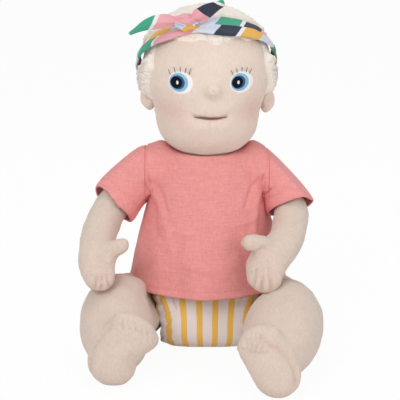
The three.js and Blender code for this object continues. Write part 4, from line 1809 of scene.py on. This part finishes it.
    def build_sleeve(self) -> None:
        """The sleeve, its hem's stitches, and the seam round the armhole at a fixed distance out."""
        points, out, length = self.sleeve_grid()
        word, s = self.side.word, self.side.value
        x, y, z = (v * MM for v in self.shoulder)
        bodies = ("torso", f"{word}_arm", *((s * (x + give), y, z) for give in self.give))
        sleeve = to_object(f"{word}_sleeve_cloth", grid_shell(points), 1e-7)
        thicken(sleeve, 1.3)
        self.wardrobe.settle(sleeve, "coral_cotton", bodies, f"{word}_sleeve")
        edge = int(0.915 * 71)
        ring = closed(points[edge] + out[edge] * 0.1)
        thread = to_object(f"{word}_sleeve_stitches", stitches(ring, 2.0, 1.0, 0.2), 1e-7)
        self.wardrobe.settle(thread, "coral_thread", f"{word}_arm", slot="coral_cotton")
        past = (points[:, :, 0] * s > self.armhole).argmax(axis=0)
        column = np.arange(self.sleeve_columns)
        after, before = points[past, column], points[past - 1, column]
        share = (s * self.armhole - before[:, :1]) / (after - before)[:, :1]
        ring = closed(before + share * (after - before) + out[past, column] * 0.1)
        armhole = to_object(f"{word}_armhole_seam", tube(ring, 0.4), 1e-7)
        self.wardrobe.settle(armhole, "coral_thread", bodies, slot="coral_cotton")


@dataclass
class Leg(Part):
    """One leg: a bent, heavy limb whose sole faces forward, with stitched toes."""

    side: Side
    toe_seams: tuple[Line, ...]
    ankle_crease: Line
    limb: tuple[tuple[Place, float, float], ...]
    foot: tuple[tuple[Place, float, float], ...]
    flare: Place
    stretch: float = 1.0
    hip: Place = (62, 0, 32)
    splay: float = 5.7
    inner: float = 36.3
    foot_inner: float = 18.0

    def place(self, at: Place) -> Place:
        """A place that is measured out, back and up from the hip, in the doll's frame.

        Args:
            at: The place, before the leg's own turn outward.

        Returns:
            The place in the doll's frame.
        """
        out = math.radians(-self.splay * self.side.value)
        away, back, up = at[0], at[1] * self.stretch, at[2]
        x = away * math.cos(out) - back * math.sin(out)
        y = away * math.sin(out) + back * math.cos(out)
        return (self.side.value * (self.hip[0] + x), self.hip[1] + y, self.hip[2] + up)

    def beside(self, points: Array) -> Array:
        """The points, kept off the pelvis on the inner side and off the floor.

        Args:
            points: The leg's points.

        Returns:
            The moved points.
        """
        s, (x, y, z) = self.side.value, points.T
        moved = points.copy()
        near = 1 - eased(-y, 48, 62)
        high, low, top = self.flare
        above = self.inner + high * eased(z, low, top) * eased(-y, 6, 26)
        above = above * eased(z, 18, 32) * (1 - eased(-y, 76, 128))
        inner = np.maximum(self.inner * near + self.foot_inner * (1 - near), above)
        moved[:, 0] = s * (inner + 1.2 * np.logaddexp(0, (x * s - inner) / 1.2))
        moved[:, 2] = np.maximum(z, 0.15)
        return moved

    def build(self) -> None:
        """The stuffed leg and foot, plumped, with its ankle crease and its toes."""
        limb, foot = (
            SoftForm(tuple(Station(self.place(at), w, h) for at, w, h in rows), domes)
            for rows, domes in ((self.limb, (31.5, 16.2)), (self.foot, (22, 16)))
        )
        shell = limb.shell(64, 16, 60, -0.9).joined(foot.shell(48, 14, 24, -0.6))
        word = self.side.word
        skin = Filling(3.6, 4, 1.8).skin(f"{word}_leg", shell.moved(self.beside))
        lines = [(Groove.ANKLE, self.ankle_crease)] + [(Groove.TOE, line) for line in self.toe_seams]
        points = sew_limb(skin, self.beside, lines, 0.45, 34, 50 + self.side.value)
        paint(skin, "blush", np.full(len(points), 0.06))
        nodes = (f"{word}_leg_skin", f"{word}_leg_stuffing")
        # The leg wears the darker copy of the skin velour, painted shade.
        self.wardrobe.settle(skin, "shaded_limb_velour", f"{word}_leg", *nodes, slot="skin_velour", fill=0.85)


# The clothes


@dataclass
class Shirt(Part):
    """The shirt: one sheet of coral cotton round the body, lapped and fastened at the back."""

    form: SoftForm = SoftForm(
        (
            Station((0, -6, 58), 74, 64),
            Station((0, -2, 95), 67, 60),
            Station((0, 2, 131), 57, 53),
            Station((0, 5, 152), 56, 46),
            Station((0, 4, 174.5), 51, 36),
        ),
        (14.5, 12),
    )
    columns: int = 340
    rows: int = 110
    cap_rows: int = 30
    rise: float = 12.0
    collar: float = 27.6
    collar_height: float = 184.4
    shoulder: Spot = (2.0, 164.0)
    shoulder_round: float = 23.9
    shoulder_top: float = 192.8
    under_head: tuple[float, float, float, float] = (222.0, 41.0, 48.0, 50.0)
    lap: float = 8.0
    under_lap: float = 4.1
    edge: float = 56.2
    thick: float = 1.3
    hem: float = 64.2
    drags: tuple[tuple[Line, float, float], ...] = (
        (((-55, 152), (-46, 140), (-38, 120), (-34, 100)), 3.6, 1.7),
        (((-56, 146), (-50, 132), (-47, 112)), 2.8, -2.2),
        (((-52, 158), (-44, 150), (-38, 134)), 2.2, -1.3),
        (((54, 156), (47, 142), (43, 124), (46, 104)), 3.4, 1.9),
        (((57, 150), (51, 136), (50, 118)), 2.6, -2.4),
        (((52, 162), (42, 152), (36, 138)), 2.2, -1.4),
        (((52, 132), (38, 124), (20, 122)), 2.8, 1.1),
        (((-50, 126), (-34, 118), (-16, 116)), 2.8, 1.0),
        (((30, 92), (8, 86), (-20, 88)), 4.5, 0.9),
    )

    def wall(self) -> Array:
        """The sheet from the hem to the shoulders.

        A point lies on the ring's outline, or on the block that covers both shoulder joints
        where that reaches farther from the ring's middle. The block is as wide as the armholes,
        and at each height as deep as a circle round the joint's axis.

        Returns:
            The points by row and column.
        """
        round_x, round_y = self.round()
        centre, _, _, half = self.form.middle(np.linspace(0, 1, self.rows))
        x, y = half[:, :1] * round_x, half[:, 1:2] * round_y
        reach = np.hypot(x, y)
        middle, height = centre[:, 1:2], centre[:, 2:3]
        back, up = self.shoulder
        deep = np.sqrt(np.maximum(self.shoulder_round**2 - (height - up) ** 2, 0))
        room = np.where(y < 0, middle - back + deep, back + deep - middle)
        to_face = room / np.maximum(np.abs(y / reach), 1e-6)
        to_side = self.edge / np.maximum(np.abs(x / reach), 1e-6)
        block = np.where(deep > 0, np.minimum(to_side, to_face), 0)
        longer = 1.5 * np.logaddexp(reach / 1.5, block / 1.5) / reach
        z = np.repeat(height, self.columns, axis=1)
        return np.stack([x * longer, middle + y * longer, z], axis=2)

    def round(self) -> tuple[Array, Array]:
        """The columns' directions from the middle, once round and over the lap.

        Returns:
            Their parts along X and along Y.
        """
        lap = math.asin(self.lap / 50)
        begin = math.pi / 2 + lap
        turn = np.linspace(begin, begin - 2 * math.pi - 2 * lap, self.columns)[None]
        return -np.cos(turn), np.sin(turn)

    def cap(self, rim: Array) -> Array:
        """The sheet from the shoulders to the collar.

        The outline passes evenly into the round collar. The height is the greater of the CAD
        source's dome and the shoulder block's own arch, and it stays under the head.

        Args:
            rim: The wall's top row.

        Returns:
            The points by row and column.
        """
        round_x, round_y = self.round()
        back, up = self.shoulder
        share = (np.linspace(0, 1, self.cap_rows + 1)[1:, None]) ** 1.15
        x = (1 - share) * rim[:, 0] + share * self.collar * round_x
        y = (1 - share) * rim[:, 1] + share * self.collar * round_y
        top = self.form.stations[-1]
        dome = 1 - (x / top.wide) ** 2 - ((y - top.at[1]) / top.deep) ** 2
        arch = 1 - ((y - back) / (self.shoulder_round + 0.4)) ** 2
        dome, arch = (np.sqrt(np.clip(v, 0, 1)) for v in (dome, arch))
        peak = self.shoulder_top - 5.2 * eased(np.abs(x), 38, 58) - up
        z = np.maximum(top.at[2] + self.rise * dome, up + peak * arch)
        ahead = eased(-round_y, 0.3, 0.9)
        near = eased(share, 0.35 - 0.3 * ahead, 1.0 - 0.4 * ahead)
        z = z * (1 - near) + (self.collar_height + 0.02 * y) * near
        base, dome, wide, deep = self.under_head
        out = np.sqrt((x / wide) ** 2 + ((y + 4) / deep) ** 2)
        under = base - dome * rounding(out, 2.5) - 0.3
        return np.stack([x, y, np.where(out < 1, np.minimum(z, under), z)], axis=2)

    def surface(self) -> tuple[Array, Array]:
        """The whole sheet, pressed under the shoulder lines.

        Returns:
            Its points and their outward directions, by row and column.
        """
        wall = self.wall()
        points = np.concatenate([wall, self.cap(wall[-1])])
        flat = points.reshape(-1, 3)
        for normal, limit in SHOULDER_LINE.values():
            flat = under_plane(flat, normal, limit + 1.2, 1.0)
        points = flat.reshape(points.shape)
        out = unit(np.cross(np.gradient(points, axis=0), np.gradient(points, axis=1)))
        lower = (out[: self.rows, :, k] * way for k, way in enumerate(self.round()))
        return points, out * np.sign(sum(lower).mean())

    def folds(self, points: Array) -> Array:
        """How far the cloth stands proud of its plain form.

        Soft vertical folds run up from the hem, and drag lines run from under each arm across
        the chest; each is a bell of the distance to its line.

        Args:
            points: The sheet's points.

        Returns:
            One distance for each point.
        """
        x, y, z = points.T
        angle = np.arctan2(y, x)
        waves = 1.2 * np.sin(7 * angle + 0.8) + 0.8 * np.sin(12 * angle + z / 22)
        proud = (1 - eased(z, 58, 135)) * waves
        proud += 0.7 * ripples(points, 46, 71) + 0.3 * ripples(points * (1, 1, 0.6), 17, 72)
        front, flat = eased(-y, 5, 25), points * (1, 0, 1)
        for spots, width, high in self.drags:
            line = dense(np.array([(a, 0, b) for a, b in spots], float), 2.0)
            proud += front * high * hump(away_from_path(flat, line), width)
        return proud

    def build(self) -> None:
        """The sheet with its folds, its hem's welt and stitches, and its lapped back."""
        grid, out = self.surface()
        flat, heading = grid.reshape(-1, 3), out.reshape(-1, 3)
        column = np.tile(np.arange(self.columns), len(grid))
        x, y, z = flat.T
        proud = self.folds(flat) * (1 - eased(z, 162, 178)) * (1 - 0.8 * eased(y, 30, 44))
        welt = -0.45 * hump(z - self.hem, 0.7) + 0.5 * (z < self.hem)
        lapped = (column < self.columns * 0.06) & (y > 0)
        under = np.where(lapped, eased(x, -self.lap - 3.2, -self.lap + 0.4), 0)
        points = flat + heading * (proud + welt - under * self.under_lap)[:, None]
        beside = eased(z, 118, 132) * (z < 176)
        limit = self.edge * beside + 90 * (1 - beside)
        points[:, 0] = np.clip(points[:, 0], -limit, limit)
        floor = 58.3 + 0.9 * np.sin(5 * np.arctan2(y, x)) * (z < 70)
        points[:, 2] = np.where(z < 62, points[:, 2] + (floor - 58.0) * 0.6, points[:, 2])
        made = points.reshape(grid.shape)
        shell = grid_shell(made, round_columns=False)
        shirt = to_object("shirt", shell, 1e-7)
        thicken(shirt, self.thick)
        nodes = ("shirt_front", "shirt_left_back", "shirt_right_back")
        self.wardrobe.settle(shirt, "coral_cotton", "torso", *nodes)
        self.area(shell)
        row, first = int(np.abs(grid[:, 0, 2] - self.hem).argmin()), int(self.columns * 0.03)
        path = made[row, first:] + out[row, first:] * 0.15
        hem = to_object("shirt_hem_stitches", stitches(path, 2.0, 1.0, 0.2), 1e-7)
        self.wardrobe.settle(hem, "coral_thread", "torso", slot="coral_cotton")

    def area(self, shell: Shell) -> float:
        """The cloth's area in square metres: half the length of each face's crossed diagonals."""
        a, b, c, d = (shell.points[shell.faces[:, k]] for k in range(4))
        return float(np.linalg.norm(np.cross(c - a, d - b), axis=1).sum() / 2) * MM * MM


@dataclass
class Nappy(Part):
    """The striped nappy, gathered at its legs and closed by a tab at each side."""

    form: SoftForm = BODY_FORM
    columns: int = 240
    waist: float = 69.5
    inner: float = 35.7
    grow: float = 2.3
    thick: float = 1.7
    tab_thick: float = 1.2
    stripe_shift: float = 6.8
    seat_power: float = 4.5

    def outline(self) -> tuple[Array, ...]:
        """Each ring's height, half width, half depth and middle, a cloth larger than the body.

        Under the hips the half sizes fall off as a superellipse, so that the seat is squarer
        than the body's dome.

        Returns:
            The four sizes, each with one number for each ring.
        """
        rings = self.form.rings(self.columns, 26, 150, self.grow)
        rings = rings[rings[:, :, 2].mean(axis=1) < self.waist]
        height = rings[:, :, 2].mean(axis=1)
        drop = np.clip((28 - height) / (self.form.domes[0] + self.grow), 0, 0.995)
        fuller = rounding(drop, self.seat_power) / np.sqrt(1 - drop**2)
        wide, deep = (np.ptp(rings[:, :, k], axis=1) / 2 * fuller for k in (0, 1))
        return height, wide, deep, rings[:, :, 1].mean(axis=1)

    def flare(self, y: Array, z: Array) -> Array:
        """How much wider the nappy's front is over the thighs."""
        return 13 * eased(z, 20, 50) * eased(-y, 4, 20) * eased(np.hypot(y, z - 32), 27, 38)

    def bag(self, height: Array) -> Array:
        """How far the front of the nappy bags out at each height."""
        return 2.6 * hump(height - 20, 18) + 1.2 * hump(height - 48, 12)

    def build(self) -> Object:
        """The nappy: rings whose front half is squarer than an ellipse, as a power of 4 makes it.

        The sides are drawn in where the legs swing, and small gathers run out from the leg
        openings. The cloth's own width follows the length of a ring at half height.

        Returns:
            The nappy.
        """
        height, wide, deep, middle = (v[:, None] for v in self.outline())
        turn = turns(self.columns)[None]
        c, s = np.cos(turn), np.sin(turn)
        power = 2 + 2 * eased(-s, 0.0, 0.5)
        corner = (np.abs(c) ** power + np.abs(s) ** power) ** (-1 / power)
        x = wide * c * corner
        y = middle + deep * s * corner - self.bag(height) * eased(-s, 0.3, 0.8)
        z = np.repeat(height, self.columns, axis=1)
        pucker = eased(np.abs(x), 24, 38) * np.sin(z / 1.9 + 0.4 * np.abs(x)) * (z > 3)
        x, y = x + 0.9 * c * pucker, y + 0.9 * s * pucker
        from_hip = np.hypot(y, z - 32)
        inside = self.inner - 0.2 + 8.6 * eased(from_hip, 30, 46) + self.flare(y, z)
        limit = np.where(z > 64.5, 90, inside)
        grid = np.stack([np.clip(x, -limit, limit), y, np.maximum(z, 0)], axis=2)
        mid = grid[len(grid) * 2 // 3]
        around = np.cumsum(np.linalg.norm(np.diff(mid, axis=0, append=mid[:1]), axis=1))
        across = around - around[self.columns * 3 // 4] + self.stripe_shift
        nappy = to_object("nappy_cloth", grid_shell(grid), 0)
        give_uv(nappy, np.stack([np.tile(across, len(grid)), z.ravel()], axis=1) * MM)
        thicken(nappy, self.thick)
        self.wardrobe.settle(nappy, "striped_cotton", "torso", "nappy")
        return nappy

    def build_tab(self, side: Side) -> Object:
        """A closing tab: a slanted patch laid over the nappy's front corner.

        Args:
            side: Which tab.

        Returns:
            The tab.
        """
        a, b = np.meshgrid(np.linspace(0, 1, 30), np.linspace(-1, 1, 24), indexing="ij")
        x = side.value * (33 + a * 9 + b * 5.5)
        z = 38 + a * 24 - b * 2.5
        height, *sizes = self.outline()
        wide, deep, middle = (np.interp(z, height, v) for v in sizes)
        soft = 1.7 * (1 - np.maximum(np.abs(b), np.abs(2 * a - 1)) ** 8) + 0.2
        y = middle - deep * rounding(np.abs(x) / wide, 4) - self.bag(z) - soft
        shell = grid_shell(np.stack([x, y, z], axis=2), round_columns=False)
        tab = to_object(f"{side.word}_tab", shell, 0)
        give_uv(tab, np.stack([(b * 7.2).ravel() + 11, (a * 29).ravel()], axis=1) * MM)
        thicken(tab, self.tab_thick)
        self.wardrobe.settle(tab, "striped_cotton", "torso", f"nappy_{side.word}_tab")
        return tab

    def dress_up(self) -> None:
        """The nappy and its tabs."""
        nappy = self.build()
        tabs = [self.build_tab(side) for side in Side]


# The studio


@dataclass
class Studio:
    """A pale floor, soft lamps and the photograph's camera."""

    target: Place = (-6.5, -25, 141)
    camera: Place = (-6.5, -1570, 555)
    lens: float = 154.8
    floor_side: float = 6000.0
    aim: Place = (0, -20, 150)
    lamps: tuple[tuple[str, Place, float, float], ...] = (
        ("key", (-700, -1300, 1200), 900, 11.2),
        ("fill", (950, -1200, 700), 900, 6.4),
        ("top", (0, 300, 1500), 1000, 4.6),
    )

    def put(self, name: str, data: bpy.types.ID, place: Place, target: Place) -> Object:
        """Puts a lamp or the camera in its place, turned toward its target.

        Args:
            name: The object's name.
            data: What it holds.
            place: Where it stands, in millimetres.
            target: What it looks at, in millimetres.

        Returns:
            The new object.
        """
        obj = bpy.data.objects.new(name, data)
        obj.location = Vector(place) * MM
        aim = (Vector(target) - Vector(place)) * MM
        obj.rotation_euler = aim.to_track_quat("-Z", "Y").to_euler()
        bpy.context.scene.collection.objects.link(obj)
        return obj

    def build_floor(self) -> None:
        """A broad pale floor that nearly whites out for the camera but keeps the shadow."""
        side = self.floor_side
        corners = np.array([[-side, -side, 0], [side, -side, 0], [side, side, 0], [-side, side, 0]])
        floor = to_object("studio_floor", Shell(corners - (0, 0, 0.05), np.array([[0, 1, 2, 3]])))
        recipe = Recipe("studio_white")
        dull = {"Base Color": (0.9, 0.9, 0.9, 1), "Roughness": 1.0, "Specular IOR Level": 0.0}
        recipe.feed(recipe.shader, dull)
        glow = recipe.node("Emission", {"Color": (1, 1, 1, 1)})
        seen = recipe.sum("MULTIPLY", recipe.node("LightPath").outputs["Is Camera Ray"], 0.95)
        mixed = recipe.node("MixShader", {"Fac": seen, 1: recipe.shader.outputs[0], 2: glow.outputs[0]})
        out = next(n for n in recipe.tree.nodes if n.type == "OUTPUT_MATERIAL")
        recipe.feed(out, {"Surface": mixed.outputs[0]})
        floor.data.materials.append(recipe.material)

    def build_light(self) -> None:
        """Three broad soft lamps and an even sky that is brighter where the camera sees it."""
        world = bpy.data.worlds.new("studio_sky")
        bpy.context.scene.world = world
        world.use_nodes = True
        sky = next(n for n in world.node_tree.nodes if n.type == "BACKGROUND")
        sky.inputs["Color"].default_value = (1, 1, 1, 1)
        path, seen = (world.node_tree.nodes.new(f"ShaderNode{kind}") for kind in ("LightPath", "Math"))
        seen.operation = "MULTIPLY_ADD"
        seen.inputs[1].default_value = seen.inputs[2].default_value = 0.5
        world.node_tree.links.new(path.outputs["Is Camera Ray"], seen.inputs[0])
        world.node_tree.links.new(seen.outputs[0], sky.inputs["Strength"])
        for name, place, size, power in self.lamps:
            lamp = bpy.data.lights.new(name, "AREA")
            lamp.energy, lamp.size = power, size * MM
            self.put(name, lamp, place, self.aim)

    def build_camera(self) -> None:
        """The camera, a little over the doll and looking down at it."""
        data = bpy.data.cameras.new("studio_camera")
        data.lens, data.sensor_width, data.clip_end = self.lens, 36.0, 100
        bpy.context.scene.camera = self.put("studio_camera", data, self.camera, self.target)

    def build(self) -> None:
        """The whole studio, with plain colours on the screen."""
        self.build_floor()
        self.build_light()
        self.build_camera()
        bpy.context.scene.view_settings.view_transform = "Standard"


def make_arms(wardrobe: Wardrobe) -> list[Arm]:
    """The two arms: the doll's left one is raised over its lap, its right one rests.

    Args:
        wardrobe: The finishes.

    Returns:
        The left arm and the right one.
    """
    raised = Arm(
        wardrobe,
        Side.LEFT,
        ((20, -6, -14), (25, -18, -33), (23, -36, -43), (17, -57, -55), (-0.5, -82, -70), (-2, -92, -78)),
        ((20, 13), (17.6, 11.5)),
        ((4, -72, -56), (-7, -80, -50), (-16, -83, -48)),
        9.3,
        (
            ((43, 96), (41, 86), (39, 76)),
            ((49.5, 97), (48.7, 86), (48, 75)),
            ((56, 97), (57, 86), (58.5, 76)),
        ),
        ((37, 94), (45, 92), (54, 91.5), (63, 94)),
        ((50, 111), (44, 107), (37, 104)),
        3.0,
    )
    resting = Arm(
        wardrobe,
        Side.RIGHT,
        ((21, -4, -14), (36, -16, -33), (45, -38, -49), (47, -62, -61), (46, -81, -70), (43, -93, -77)),
        ((18.3, 12.5), (15.8, 10.5)),
        ((38, -75, -60), (29, -76, -55), (23.5, -77, -52.5)),
        9.0,
        (
            ((-99.5, 95), (-100.5, 87), (-102, 78)),
            ((-94, 96), (-94, 87), (-94, 78)),
            ((-88.5, 96), (-87.5, 88), (-86, 79)),
        ),
        ((-108, 93.5), (-101, 91.5), (-93, 91), (-84, 93)),
        ((-96, 106), (-90, 102), (-83, 98)),
        8.0,
    )
    return [raised, resting]


def make_legs(wardrobe: Wardrobe) -> list[Leg]:
    """The two legs, with the seams of their toes and ankles.

    Args:
        wardrobe: The finishes.

    Returns:
        The left leg and the right one.
    """
    root = (((0, 0, 0), 30, 31.5), ((8, -35, 5), 32, 35))
    left = Leg(
        wardrobe,
        Side.LEFT,
        (
            ((32, 60), (33, 48)),
            ((36.5, 61), (37.5, 48)),
            ((41, 61), (42.5, 48)),
            ((46, 59), (48, 48)),
            ((29, 46), (50, 45)),
        ),
        ((46.7, 55.3), (64.4, 45.4), (75.9, 30.1), (77.8, 15.7)),
        (*root, ((16, -70, 8.5), 37, 40.5), ((15, -103, 5), 35, 36.5), ((11, -124, -1), 29, 29)),
        (((15.5, -143, -10.5), 22, 15), ((-1, -140, 18), 22, 13)),
        (24, 24, 74),
        1.16,
    )
    right = Leg(
        wardrobe,
        Side.RIGHT,
        (
            ((-75, 64), (-74.5, 58)),
            ((-69, 65), (-68, 58)),
            ((-63, 64), (-62, 57)),
            ((-57, 61), (-56, 54)),
            ((-52, 56), (-50, 50)),
        ),
        ((-105, 14), (-103, 35), (-95, 50), (-87, 59)),
        (*root, ((12, -70, 8.5), 35.5, 41), ((10, -103, 5), 33, 36.5), ((6, -124, -1), 27, 29)),
        (((8.5, -140, -10.5), 23.5, 15), ((1, -139, 4), 21.5, 15), ((-13, -139, 20), 25, 13)),
        (19, 14, 60),
    )
    return [left, right]


def main() -> None:
    """Builds the doll piece by piece, then the studio."""
    logging.basicConfig(level=logging.INFO, format="%(message)s")
    wardrobe = Wardrobe()
    wardrobe.dress_carried()
    head = Head(wardrobe)
    head.build_skin()
    head.build_hair()
    face = Face(wardrobe, head)
    for side in Side:
        head.build_ear(side)
        face.build_eye(side)
        face.build_lashes(side)
    face.build_mouth()
    Headscarf(wardrobe, head).build()
    body = Body(wardrobe)
    body.build()
    body.build_neck_seam()
    for arm in make_arms(wardrobe):
        arm.build_skin()
        arm.build_sleeve()
    for leg in make_legs(wardrobe):
        leg.build()
    Shirt(wardrobe).build()
    Nappy(wardrobe).dress_up()
    Studio().build()


if __name__ == "__main__":
    main()
